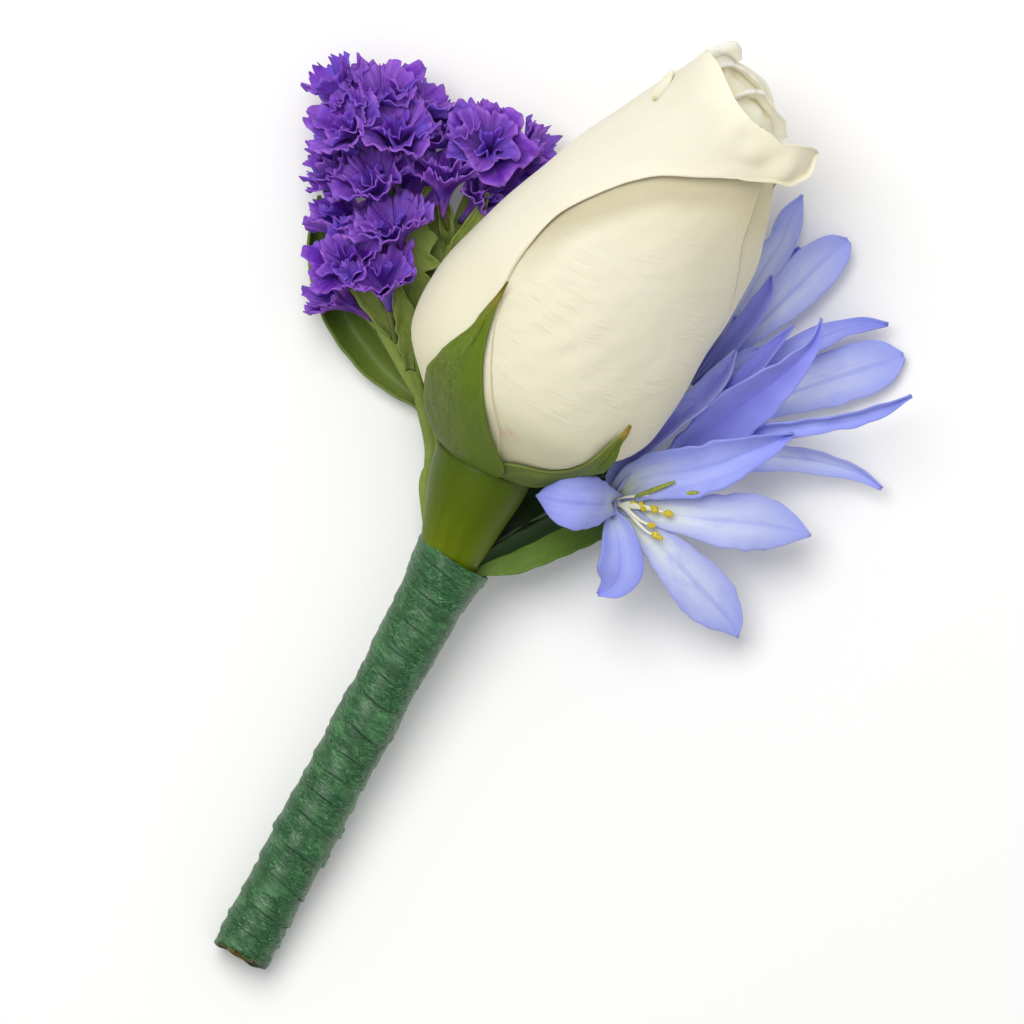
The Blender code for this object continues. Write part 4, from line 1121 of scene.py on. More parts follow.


# each tepal's path holds x, y, z and half its width; its tone picks one of the tepal finishes, and the
# deep one is painted darker as shade
florets = {
    "front": dict(
        outside=[(4.4, 59.3, 7.6), (7.2, 63.8, 7.2)], throat=(13.4, 69.0, 12.0), axis=(0.5, 0.3, 0.8),
        tepals=[
            dict(tone="blue",
                 path=[(13.7, 69.0, 11.4, 0.8), (13.3, 68.8, 14.5, 1.6), (12.5, 68.2, 18.0, 2.8),
                       (11.0, 67.4, 20.4, 3.3), (9.2, 66.6, 21.0, 3.2), (7.5, 66.0, 20.6, 2.5),
                       (6.2, 65.7, 19.8, 1.3), (5.2, 65.4, 19.0, 0.05)],
                 facing=[(0.8, 0.3, 0.2), (0.4, 0, 0.9), (0, -0.15, 1)],
                 cup=[(0, 1.2), (0.3, -0.3), (1, -0.2)], fold=[(0, 0.4), (0.5, 0.25), (1, 0)]),
            dict(tone="blue",
                 path=[(13.6, 68.4, 11.4, 0.5), (14.5, 67.3, 12.6, 0.7), (15.8, 66.2, 13.4, 1.7),
                       (17.5, 63.9, 13.6, 2.5), (18.4, 61.9, 13.0, 2.7), (18.4, 60.4, 12.1, 1.9),
                       (17.4, 58.5, 11, 0.15)],
                 facing=[(0.1, 0.1, 1), (0, 0, 1)], cup=[(0, 0.8), (0.4, 0.4), (1, 0.1)],
                 fold=[(0, 0.8), (0.5, 0.8), (1, 0.2)]),
            dict(tone="pale",
                 path=[(13.9, 68.7, 11.2, 0.7), (15.6, 68.5, 12.2, 1.1), (18.7, 67.7, 12.7, 1.7),
                       (22, 66.9, 12.2, 2.3), (25.1, 65.9, 11, 3.0), (28, 64.9, 9.5, 3.35),
                       (31.2, 63.8, 7.5, 2.8), (33.2, 63.0, 6.2, 1.6), (34.7, 61.9, 5, 0.05)],
                 facing=[(0.1, 0, 1), (0.25, -0.1, 1)], cup=[(0, 0.5), (0.4, -0.2), (1, -0.2)],
                 fold=[(0, 0.3), (0.5, 0.35), (1, 0.3)]),
            dict(tone="pale",
                 path=[(14.1, 69.3, 11.2, 0.7), (15.8, 69.5, 12.2, 1.1), (18.6, 70.4, 12.8, 1.7),
                       (22, 71.7, 13.0, 2.3), (25.7, 73.1, 12.3, 3.1), (29.3, 74.7, 10.9, 3.5),
                       (32.2, 75.8, 9.3, 2.9), (34.4, 76.4, 8.2, 1.7), (36.6, 76.8, 7.5, 0.05)],
                 facing=[(0, 0, 1), (0.2, 0, 1)], cup=[(0, 0.5), (0.4, -0.25), (1, -0.25)],
                 fold=[(0, 0.2), (0.5, 0.3), (1, 0.2)]),
            dict(tone="blue",
                 path=[(13.7, 69.8, 11.2, 0.9), (14.7, 72.0, 12.8, 2.1), (16.6, 74.2, 14.2, 2.7),
                       (19.7, 76.6, 15, 3.1), (22.5, 79.1, 15.2, 2.95), (24.6, 81.6, 14.8, 2.3),
                       (26.6, 83.9, 14, 1.5), (28.6, 86.6, 13, 0.15)],
                 facing=[(0, 0, 1), (0.3, -0.35, 1)], cup=[(0, 0.5), (0.4, 0.6), (1, 0.4)],
                 fold=[(0, 0.2), (0.5, 0.7), (1, 0.5)], wavy=0.06),
            dict(tone="deep",
                 path=[(13.4, 69.8, 11.2, 0.7), (13.0, 71.5, 12, 1.3), (13.6, 75.5, 12.3, 1.6),
                       (15.6, 81, 12.2, 1.6), (17.2, 85, 11.8, 1.6), (18, 88.5, 11, 1.4),
                       (18.3, 92.0, 10.5, 0.15)],
                 facing=[(-0.6, 0.1, 0.9), (-0.4, 0, 0.9)], cup=[(0, 0.5), (0.4, 0.7), (1, 0.3)],
                 fold=[(0, 0.2), (0.5, 0.3), (1, 0.2)]),
        ]),
    "middle": dict(
        outside=[(2.4, 60, 6.0), (6.2, 67.0, 3.5)], throat=(18.9, 78.9, 6.3), axis=(0.6, 0.78, 0.12),
        tepals=[
            dict(tone="pale",
                 path=[(19.4, 79, 5.6, 0.7), (22, 80, 5.6, 1.2), (26, 82, 5.6, 1.7), (30, 84, 5.1, 1.6),
                       (34, 85.4, 4.3, 1.4), (38, 86.2, 3.5, 0.95), (41.5, 86.0, 3, 0.25)],
                 facing=[(0, -0.1, 1), (0.3, -0.5, 1)], cup=[(0, 0.5), (0.5, 0.5), (1, 0.2)],
                 fold=[(0, 0.2), (0.5, 0.5), (1, 0.2)]),
            dict(tone="blue",
                 path=[(20.0, 80.0, 7, 0.6), (24, 84.5, 9.2, 1.2), (28, 87.3, 11, 1.1),
                       (31.7, 90, 12, 1.1), (35.1, 92.7, 12, 1.05), (37.5, 95.1, 11.6, 0.8),
                       (39.1, 97.4, 11, 0.1)],
                 facing=[(0.3, -0.4, 1), (0.5, -0.6, 1)], cup=[(0, 0.4), (0.5, 0.7), (1, 0.2)],
                 fold=[(0, 0.2), (0.5, 0.5), (1, 0.2)]),
            dict(tone="deep",
                 path=[(17.6, 77.0, 6.8, 1.4), (19.8, 82, 9.4, 2.9), (21.8, 87, 12.0, 3.3),
                       (23.7, 91, 14.0, 2.6), (25.2, 94.7, 15, 1.5), (25.8, 98, 15.2, 0.6),
                       (25.2, 100.3, 15, 0.08)],
                 facing=[(0.3, -0.2, 1), (0.5, -0.3, 1)], cup=[(0, 0.4), (0.4, 0.6), (1, 0.2)],
                 fold=[(0, 0.2), (0.4, 0.9), (1, 0.2)], wavy=0.05),
            dict(tone="deep",
                 path=[(19.0, 80.2, 7.2, 0.6), (19.8, 84, 8.2, 1.0), (20.7, 89, 9.5, 1.3),
                       (21.6, 93.5, 10, 1.0), (22.9, 98.1, 9.5, 0.08)],
                 facing=[(-0.4, 0.1, 1), (-0.4, 0.1, 1)], cup=[(0, 0.4), (1, 0.2)],
                 fold=[(0, 0.2), (1, 0.2)]),
            dict(tone="blue",
                 path=[(18.9, 80.0, 6.2, 0.6), (20.4, 85.5, 6.4, 1.0), (23, 93, 6.5, 1.5),
                       (26.5, 98.5, 5.2, 1.5), (28.3, 100.6, 4.6, 1.1), (30.5, 102.3, 3.8, 0.85),
                       (32.8, 103.6, 3, 0.15)],
                 facing=[(-0.3, 0.2, 1), (-0.1, 0.2, 1)], cup=[(0, 0.4), (1, 0.2)],
                 fold=[(0, 0.2), (1, 0.2)]),
            dict(tone="pale",
                 path=[(19.2, 80.0, 5.4, 0.6), (24, 88, 4.7, 2.0), (27.5, 92, 3.7, 2.9),
                       (31, 95.8, 2.7, 3.4), (33.7, 98.6, 2.0, 3.1), (35.4, 100.3, 1.6, 1.9),
                       (36.3, 101.2, 1.4, 0.3)],
                 facing=[(0, 0, 1), (0.1, 0, 1)], cup=[(0, 0.4), (1, 0.1)], fold=[(0, 0.2), (1, 0.25)]),
        ]),
    "back": dict(
        outside=[(0.9, 60.5, 4.8), (3.8, 69.0, 2.2), (8.5, 77.0, 2.1)], throat=(15.6, 84.6, 4.2),
        axis=(0.25, 0.95, 0.16),
        tepals=[
            dict(tone="pale",
                 path=[(15.5, 86, 4.4, 0.6), (15.8, 91, 4.2, 1.0), (16.2, 97, 4.1, 1.6),
                       (16.5, 103, 3.9, 2.0), (16.8, 106.5, 3.8, 1.7), (16.4, 109.5, 3.7, 1.5),
                       (16.3, 112.5, 3.6, 0.1)],
                 facing=[(-0.1, 0, 1), (0.1, 0, 1)], cup=[(0, 0.4), (1, 0.1)], fold=[(0, 0.2), (1, 0.3)]),
            dict(tone="pale",
                 path=[(16.0, 86, 4.0, 0.6), (17, 91, 4.0, 1.2), (19, 96, 4.1, 1.7),
                       (20.6, 101, 3.8, 2.6), (21.7, 105, 3.3, 2.9), (22.7, 107.8, 2.9, 2.4),
                       (23.5, 109.6, 2.7, 1.4), (23.8, 110.3, 2.6, 0.3)],
                 facing=[(0, 0, 1), (0.1, 0, 1)], cup=[(0, 0.4), (1, 0.1)], fold=[(0, 0.2), (1, 0.25)]),
            dict(tone="blue",
                 path=[(15.7, 86, 3.4, 0.6), (16.4, 92, 2.6, 1.2), (17.4, 99, 1.9, 1.6),
                       (18.4, 104, 1.4, 1.1), (19.0, 106.8, 1.2, 0.1)],
                 facing=[(0, 0, 1), (0, 0, 1)], cup=[(0, 0.3), (1, 0.1)], fold=[(0, 0.2), (1, 0.2)]),
            dict(tone="deep",
                 path=[(16.0, 86, 5.0, 0.5), (16.8, 90, 6.6, 1.1), (17.5, 94, 8.2, 1.3),
                       (18.0, 97, 9.2, 1.4), (18.2, 100, 9.8, 1.0), (17.8, 102.2, 10, 0.12)],
                 facing=[(-0.5, 0, 1), (-0.5, 0, 1)], cup=[(0, 0.3), (1, 0.2)],
                 fold=[(0, 0.2), (1, 0.2)]),
            dict(tone="pale",
                 path=[(15.8, 86, 4.9, 0.5), (17.0, 89.5, 6.0, 0.8), (17.2, 92.5, 6.5, 1.1),
                       (16.8, 94.4, 6.4, 0.9), (16.1, 95.8, 6.2, 0.15)],
                 facing=[(-0.1, 0, 1), (-0.1, 0, 1)], cup=[(0, 0.3), (1, 0.2)],
                 fold=[(0, 0.2), (1, 0.3)]),
            dict(tone="pale",
                 path=[(16.2, 86, 4.4, 0.5), (18.0, 88.4, 5.0, 1.0), (19.4, 90.6, 5.5, 1.5),
                       (20.3, 92.4, 5.7, 1.3), (20.9, 93.9, 5.6, 0.3)],
                 facing=[(0.1, 0, 1), (0.1, 0, 1)], cup=[(0, 0.3), (1, 0.1)], fold=[(0, 0.2), (1, 0.3)]),
        ]),
}

# a floret's tube: its radius by the distance beyond its throat, and the rows that turn back inside
floretTube = dict(radius=[(-90, 0.45), (-9, 0.5), (-6, 0.95), (-3, 1.2), (0, 1.9)], hollow=4)

# stamens of the front floret: short yellow anthers by their place, two long green ones by their
# points, and the root of their threads in the throat
stamens = dict(
    root=(13.7, 68.9, 10.8),
    short=[(16.2, 70.1, 13.4), (17.1, 70.3, 13.9), (18.5, 70.7, 14.3), (20.2, 71.0, 14.4),
           (19.1, 68.8, 14.2), (20.3, 68.0, 13.9)],
    long=[[(15.7, 70.9, 13.8), (17.6, 73.0, 15.0), (19.1, 74.8, 15.6)],
          [(20.6, 73.7, 15.0), (21.5, 74.5, 15.3), (22.3, 75.0, 15.4)]],
    thread=[(0, 0.34), (0.6, 0.26), (1, 0.12)],
)


# a tepal's colours from its foot to its tip, paler or bluer at its edges, with stripes along it
# and a line down its middle that starts above its foot
def tepalFinish(name, tones, veinTone, edgeTone):
    look = Finish(name, 0.55, Subsurface_Weight=0.2, Subsurface_Radius=(0.6, 0.7, 1.0),
                  Subsurface_Scale=0.8 * mm, Specular_IOR_Level=0.25, Sheen_Weight=0.1,
                  Sheen_Roughness=0.5)
    lie, face = look.field("lie"), look.field("look")
    share, middle = look.part(face, 0), look.part(face, 1)
    tone = look.ramp(share, tones)
    edge = look.ramp(middle, [(0.35, 0.0), (1.0, 0.75)])
    tone = look.mix(edge, tone, edgeTone)
    stripes = look.noise(lie, (2.1, 0.05, 1), 3, warp=0.3)
    tone = look.over(tone, stripes, [(0.45, 0.0), (0.75, 0.25)], veinTone)
    clouds = look.noise(lie, (0.5, 0.25, 1), 3)
    tone = look.over(tone, clouds, [(0.5, 0.0), (0.75, 0.6)], edgeTone)
    vein = look.ramp(middle, [(0.0, 0.5), (0.04, 0.4), (0.14, 0.0)])
    strength = look.compute("MULTIPLY", vein, look.ramp(share, [(0.15, 0.0), (0.45, 0.8), (1.0, 1.0)]))
    tone = look.mix(strength, tone, veinTone)
    look.base(tone)
    look.bump(stripes, 0.2, 0.1)
    return look.material


# three florets: each a stalk that widens to a hollow throat, and its six tepals. The two that lie
# behind have their tepal feet painted darker as shade
def makeFlorets():
    white, green, throatGreen = colour(214, 220, 214), colour(150, 160, 90), colour(190, 200, 170)
    paleEnd = [(0.42, colour(208, 216, 244)), (0.75, colour(192, 201, 246)), (1.0, colour(154, 162, 238))]
    blueEnd = [(0.4, colour(168, 178, 240)), (0.8, colour(158, 167, 240)), (1.0, colour(138, 146, 232))]
    # the deep tepals' tones are painted darker as shade, for tepals in the rose's shade or turned away
    shadedEnd = [(0.25, colour(132, 136, 220)), (0.8, colour(130, 132, 222)), (1.0, colour(120, 120, 212))]
    # painted shade on the tepal feet of the two florets that lie behind
    shadedFarFeet = [(0.0, colour(110, 114, 190)), (0.2, colour(140, 146, 220))]
    finishes = {
        "pale": tepalFinish("paleTepal", [(0.0, green), (0.1, throatGreen), (0.24, white)] + paleEnd,
                            colour(148, 156, 234), colour(156, 164, 236)),
        "blue": tepalFinish("blueTepal",
                            [(0.0, green), (0.08, throatGreen), (0.22, colour(196, 206, 238))] + blueEnd,
                            colour(122, 130, 220), colour(138, 146, 230)),
        "deep": tepalFinish("shadedTepal", [(0.0, green), (0.08, colour(120, 126, 200))] + shadedEnd,
                            colour(104, 104, 200), colour(172, 178, 242)),
        "paleFar": tepalFinish("paleFarTepal", shadedFarFeet + paleEnd, colour(148, 156, 234),
                               colour(156, 164, 236)),
        "blueFar": tepalFinish("blueFarTepal", shadedFarFeet + blueEnd, colour(122, 130, 220),
                               colour(138, 146, 230)),
        "deepFar": tepalFinish("shadedFarTepal", shadedFarFeet[:1] + shadedEnd, colour(104, 104, 200),
                               colour(146, 152, 232)),
    }
    stalk = Finish("floretStalk", 0.5, Specular_IOR_Level=0.3)
    along = stalk.part(stalk.field("look"), 0)
    stalk.base(stalk.ramp(along, [(0.0, colour(96, 112, 56)), (0.86, colour(110, 122, 96)),
                                  (0.93, colour(140, 150, 214)), (1.0, colour(168, 182, 214))]))
    for name, look in florets.items():
        throat, axis = np.array(look["throat"]), unit(np.array(look["axis"]))
        path = route(fromBundle("floret_" + name, look["outside"] + [throat - 5 * axis, throat]), 90)
        far = np.concatenate([[0], np.cumsum(np.linalg.norm(np.diff(path, axis=0), axis=1))])
        shell = tube(path, curve(floretTube["radius"], far - far[-1]), 36, hollow=floretTube["hollow"])
        node = "floret_" + name + "_tube"
        makePiece(node, [shell], stalk.material, [node])
        for number, tepal in enumerate(look["tepals"], 1):
            node = "floret_%s_tepal_%d" % (name, number)
            seed = number + 10 * len(name)
            finish = finishes[tepal["tone"] if name == "front" else tepal["tone"] + "Far"]
            makePiece(node, [sheet(blade(dict(tepal, seed=seed)), 0.22, seed)], finish,
                      [node])


# threads from the front floret's throat: the short anthers are beans that lie across their ends,
# each turned and sized by its number, and the long ones carry their threads on
def makeStamens():
    filament = Finish("filament", 0.4)
    along = filament.part(filament.field("look"), 0)
    filament.base(filament.ramp(along, [(0.0, colour(206, 210, 150)), (0.3, colour(232, 232, 212)),
                                        (1.0, colour(236, 236, 210))]))
    pollen = Finish("pollen", 0.8)
    grains = pollen.noise(pollen.field("lie"), (5, 5, 1), 2)
    pollen.base(pollen.ramp(grains, [(0.3, colour(186, 160, 30)), (0.7, colour(232, 214, 70))]))
    pollen.bump(grains, 0.6, 0.1)
    olive = Finish("greenAnther", 0.6)
    clouds = olive.noise(olive.field("lie"), (3, 3, 1), 2)
    olive.base(olive.ramp(clouds, [(0.3, colour(120, 132, 40)), (0.7, colour(170, 176, 70))]))
    root = np.array(stamens["root"])
    threads, short, long = [], [], []
    grow = np.linspace(0, 1, 16)
    bean = 0.4 * np.sqrt(np.maximum(1 - (2 * grow - 1) ** 2, 0.02))
    for number, place in enumerate(stamens["short"]):
        place = np.array(place)
        path = route([root, root + [1.0, 0.3, 1.6], place - [0.6, 0.1, 0.1], place], 24)
        threads.append(tube(path, curve(stamens["thread"], np.linspace(0, 1, 24)), 8, number))
        turn = 0.5 * math.sin(5.0 * number)
        reach = np.array([math.cos(turn), math.sin(turn), 0.1]) * (0.66 + 0.18 * math.sin(3.0 * number))
        lumps = 1 + 0.25 * np.sin(grow * 9 + number)
        short.append(tube(place + reach * (2 * grow[:, None] - 1), bean * lumps, 12, number))
    for number, ends in enumerate(stamens["long"]):
        path = route([root, root + [0.6, 1.0, 1.8]] + ends[:1], 20)
        threads.append(tube(path, 0.12 + 0 * path[:, 0], 8, number + 10))
        radii = 0.3 * np.sin(np.linspace(0.12, math.pi - 0.12, 24)) ** 0.5
        long.append(tube(route(ends, 24), radii, 10, number))
    makePiece("stamen_threads", threads, filament.material)
    makePiece("yellow_anthers", short, pollen.material)
    makePiece("green_anthers", long, olive.material)


makeFlorets()
makeStamens()
print("florets done")


# each stem's points outside the bundle, and how wide its wings are
staticeStems = {
    "left": dict(outside=[(-4.0, 54.6, 8.8), (-5.5, 57.4, 8.8), (-6.7, 60.2, 8.3), (-8.0, 64.6, 7.0),
                          (-12.0, 69.2, 5.9), (-17.6, 73.2, 5.8), (-24, 76.6, 5.8), (-27.5, 79.5, 6.2)],
                 wing=1.1, seed=1),
    "middle": dict(outside=[(-4.6, 60.3, 7.2), (-7.8, 66, 5.2), (-12.6, 71.6, 4.6), (-18.7, 79.2, 5),
                            (-24.5, 86.8, 5.8), (-29.5, 92, 6.6), (-33, 96, 7.2)],
                   wing=0.3, seed=2),
    "right": dict(outside=[(-3, 60.8, 5.9), (-6, 67, 4), (-11.6, 73.4, 3.5), (-15.8, 80.5, 4.2),
                           (-18, 87.5, 5.6), (-19, 93, 6.4), (-18.6, 98, 7)],
                  wing=0.3, seed=3),
}

# each flower: its stem, how far up it, the middle of its mouth, the mouth's radius, and the foot
# of its calyx where it leans over
staticeFlowers = [
    ("middle", 1.0, (-38.4, 97.3, 8.5), 3.8),
    ("middle", 0.98, (-34.6, 100.2, 11.5), 3.9),
    ("middle", 0.95, (-29.4, 101.4, 9.0), 3.9),
    ("middle", 0.94, (-36.8, 94.0, 14.0), 4.0),
    ("middle", 0.90, (-30.8, 96.9, 15.0), 4.4),
    ("middle", 0.88, (-35.4, 89.0, 8.0), 3.5),
    ("middle", 0.84, (-31.0, 90.2, 13.0), 4.4),
    ("middle", 0.77, (-26.2, 86.6, 13.6), 4.0),
    ("right", 0.96, (-24.8, 100.4, 10.0), 4.2),
    ("right", 0.90, (-23.2, 95.2, 13.6), 3.5, (-20.3, 89.2, 11.0)),
    ("right", 1.0, (-19.8, 100.2, 14.5), 4.2),
    ("right", 0.92, (-16.8, 95.6, 10.3), 4.0),
    ("right", 0.97, (-13.2, 102.2, 8.5), 3.8),
    ("left", 1.0, (-30.8, 84.6, 8.3), 3.9),
    ("left", 0.96, (-29.0, 79.8, 13.5), 3.9),
    ("left", 0.88, (-24.4, 80.9, 14.0), 3.7),
    ("left", 0.90, (-29.0, 75.8, 8.5), 3.5),
]

# small buds of the same kind that fill the heads between the flowers
staticeFillers = [
    ("middle", 0.86, (-24.8, 91.2, 9.5), 3.2),
    ("middle", 0.90, (-28.0, 93.5, 9.0), 3.0),
    ("middle", 0.94, (-38.0, 90.5, 9.0), 3.0),
    ("right", 0.96, (-13.5, 97.5, 8.0), 3.2),
    ("middle", 0.86, (-34.0, 84.0, 8.0), 2.8),
    ("middle", 0.98, (-41.2, 98.2, 10.5), 3.2),
]

# a calyx: radius and height by the share of the way from its base to its mouth
calyx = dict(
    length=7.0,      # the longest it may be
    spread=1.2,      # the mouth's radius as made, for each millimetre of the radius given
    radius=[(0, 0.3), (0.2, 0.5), (0.42, 0.95), (0.6, 1.6), (0.8, 2.7), (1, 3.9)],
    height=[(0, 0), (0.42, 0.5), (0.7, 0.76), (1, 1.0)],
    rows=13,
    sides=128,
)

# the funnels of a flower and of a small bud: size for each millimetre of the mouth's radius, how
# full the ruffles are, teeth round the rim, how deep it draws in between lobes, wall, and where
# the seeds of its shape and of its finish start
funnels = {
    "outer": dict(size=1, fullness=1.0, teeth=28, deep=0, wall=0.11, shapeSeed=100, finishSeed=0),
    "inner": dict(size=0.76, fullness=1.2, teeth=23, deep=0, wall=0.1, shapeSeed=200, finishSeed=30),
    "heart": dict(size=0.4, fullness=1.0, teeth=10, deep=0.35, wall=0.14, shapeSeed=400, finishSeed=60),
    "bud": dict(size=1, fullness=1.1, teeth=24, deep=0, wall=0.11, shapeSeed=500, finishSeed=90),
}
tiltSeed = 300


# the line of a statice stem, through the bundle and on to its head
def staticePath(name):
    return fromBundle("statice_stem_" + name, staticeStems[name]["outside"])


# the place at a share of the way up a statice stem
def stemPlace(stem, share):
    return route(staticePath(stem), 200)[int(round(share * 199))]


# a flower's own stalk, from its stem a little way into its calyx
def flowerStalk(root, base, axis, seed):
    return tube(route([root, (root + base) / 2, base + axis * 0.6], 14), np.full(14, 0.4), 10, seed)


# a papery funnel from base to mouth: five lobes, finer pleats and small teeth that grow towards
# its rim
def funnel(kind, base, mouth, size, number):
    look = funnels[kind]
    fullness, teeth = look["fullness"], look["teeth"]
    seed, size = look["shapeSeed"] + number, size * look["size"]
    draw = np.random.default_rng(seed)
    p = draw.uniform(0, 2 * math.pi, 8)
    s = np.linspace(0, 1, calyx["rows"])[:, None]
    turn = np.linspace(0, 2 * math.pi, calyx["sides"], endpoint=False)[None, :]
    axis = unit(mouth - base)
    length = np.linalg.norm(mouth - base)
    grow = ease(s, 0.35, 1.0)
    lobe = np.sin(5 * turn + p[0] + 0.6 * np.sin(2 * turn + p[1]))
    pleat = np.sin(9 * turn + p[2] + 0.8 * np.sin(3 * turn + p[3]))
    fine = np.sin(teeth * turn + p[4] + 1.2 * np.sin(4 * turn + p[5]))
    fine = fine + 0.5 * np.sin(int(1.6 * teeth) * turn + p[1])
    widest = calyx["radius"][-1][1]
    radius = curve(calyx["radius"], s) / widest * size
    radius = radius * (1 + grow * fullness * (0.13 * lobe + 0.05 * pleat))
    radius = radius - look["deep"] * size * grow * (1 - lobe) / 2
    height = curve(calyx["height"], s) * length
    ruffle = 0.42 * np.sin(5 * turn + p[6]) + 0.3 * pleat + 0.12 * np.sin(17 * turn + p[7])
    height = height + grow * fullness * size / widest * ruffle
    tooth = np.arcsin(np.sin(teeth * turn + p[4])) + 0.5 * np.arcsin(np.sin((teeth + 9) * turn + p[1]))
    height = height + ease(s, 0.85, 1) * 0.42 * (tooth / 1.6)
    radius = radius + ease(s, 0.2, 0.5) * 0.03 * fine
    swirl = turn + grow * fullness * (0.06 * np.sin(10 * turn + p[5]) + 0.02 * np.sin(16 * turn + p[3]))
    across = unit(np.cross(axis, [0.3, 0.2, 1.0]))
    other = np.cross(axis, across)
    wide = 1 + 0.12 * math.sin(seed)
    grid = base + height[..., None] * axis + (radius * np.cos(swirl) * wide)[..., None] * across
    grid = grid + (radius * np.sin(swirl) / wide)[..., None] * other
    return ringSheet(grid, look["wall"], look["finishSeed"] + number)


# a calyx's violet from its brownish foot to its rim: darker deep in the funnel as painted shade, and paler at
# the rim, partly its own paler edge and partly painted light; with paler and bluer clouds and dark rays along
# it; one noise is stretched so that each calyx has a tone of its own
def calyxFinish(name, tones, veinTone):
    look = Finish(name, 0.6, Subsurface_Weight=0.25, Subsurface_Radius=(0.7, 0.4, 1.0),
                  Subsurface_Scale=0.8 * mm, Specular_IOR_Level=0.1)
    lie, face = look.field("lie"), look.field("look")
    tone = look.ramp(look.part(face, 0), tones)
    own = look.noise(lie, (0.03, 0.03, 0.7), 1)
    tone = look.over(tone, own, [(0.45, 0.0), (0.62, 0.6)], colour(156, 106, 212))
    cloud = look.noise(lie, (0.5, 0.3, 1), 3)
    tone = look.over(tone, cloud, [(0.42, 0.0), (0.68, 0.8)], veinTone)
    blue = look.noise(lie, (0.35, 0.22, 1.7), 2)
    tone = look.over(tone, blue, [(0.5, 0.0), (0.66, 0.55)], colour(98, 86, 208))
    rays = look.noise(lie, (3.2, 0.12, 1), 3, warp=0.3)
    tone = look.over(tone, rays, [(0.42, 0.0), (0.7, 0.5)], colour(58, 8, 122))
    look.base(tone)
    look.bump(rays, 0.5, 0.15)
    return look.material


# each flower: an outer and a smaller inner calyx, the inner one tilted at random, a heart in them,
# and a stalk from its stem; then the small buds between the flowers
def makeStatice():
    # both ramps are painted darker deep in the funnels as shade and paler towards the rims, partly as light
    paper = calyxFinish("staticePaper", [(0.0, colour(112, 96, 60)), (0.15, colour(112, 58, 104)),
                                         (0.35, colour(62, 16, 116)), (0.7, colour(88, 28, 150)),
                                         (0.9, colour(118, 58, 182)), (1.0, colour(150, 96, 204))],
                        colour(152, 102, 208))
    heart = calyxFinish("staticeHeart", [(0.0, colour(90, 60, 100)), (0.4, colour(70, 20, 128)),
                                         (0.8, colour(90, 34, 156)), (1.0, colour(130, 78, 198))],
                        colour(114, 58, 182))
    green = Finish("staticeStalk", 0.6, Specular_IOR_Level=0.2)
    clouds = green.noise(green.field("lie"), (1.5, 0.5, 1), 2)
    green.base(green.ramp(clouds, [(0.3, colour(92, 108, 44)), (0.7, colour(122, 120, 66))]))
    hearts, stalks = [], []
    for number, (stem, share, mouth, size, *given) in enumerate(staticeFlowers, 1):
        root = stemPlace(stem, share)
        mouth = np.array(mouth)
        foot = np.array(given[0]) if given else root
        axis = unit(mouth - foot)
        base = mouth - axis * min(calyx["length"], np.linalg.norm(mouth - foot) - 0.4)
        size = size * calyx["spread"]
        tilt = np.random.default_rng(tiltSeed + number).uniform(-0.9, 0.9, 3)
        outer = funnel("outer", base, mouth, size, number)
        inner = funnel("inner", base + tilt * 0.2, mouth + tilt + axis * 0.3, size, number)
        node = "statice_flower_%02d" % number
        makePiece(node, [outer, inner], paper, [node])
        hearts.append(funnel("heart", base + axis * 0.8, mouth - tilt * 0.4 - axis * 0.3, size, number))
        stalks.append(flowerStalk(root, base, axis, number))
    for number, (stem, share, mouth, size) in enumerate(staticeFillers, 1):
        root = stemPlace(stem, share)
        mouth = np.array(mouth)
        axis = unit(mouth - root)
        base = mouth - axis * min(calyx["length"], np.linalg.norm(mouth - root) - 0.2)
        hearts.append(funnel("bud", base, mouth, size, number))
        stalks.append(flowerStalk(root, base, axis, number + 40))
    makePiece("statice_hearts", hearts, heart)
    makePiece("statice_stalks", stalks, green.material)


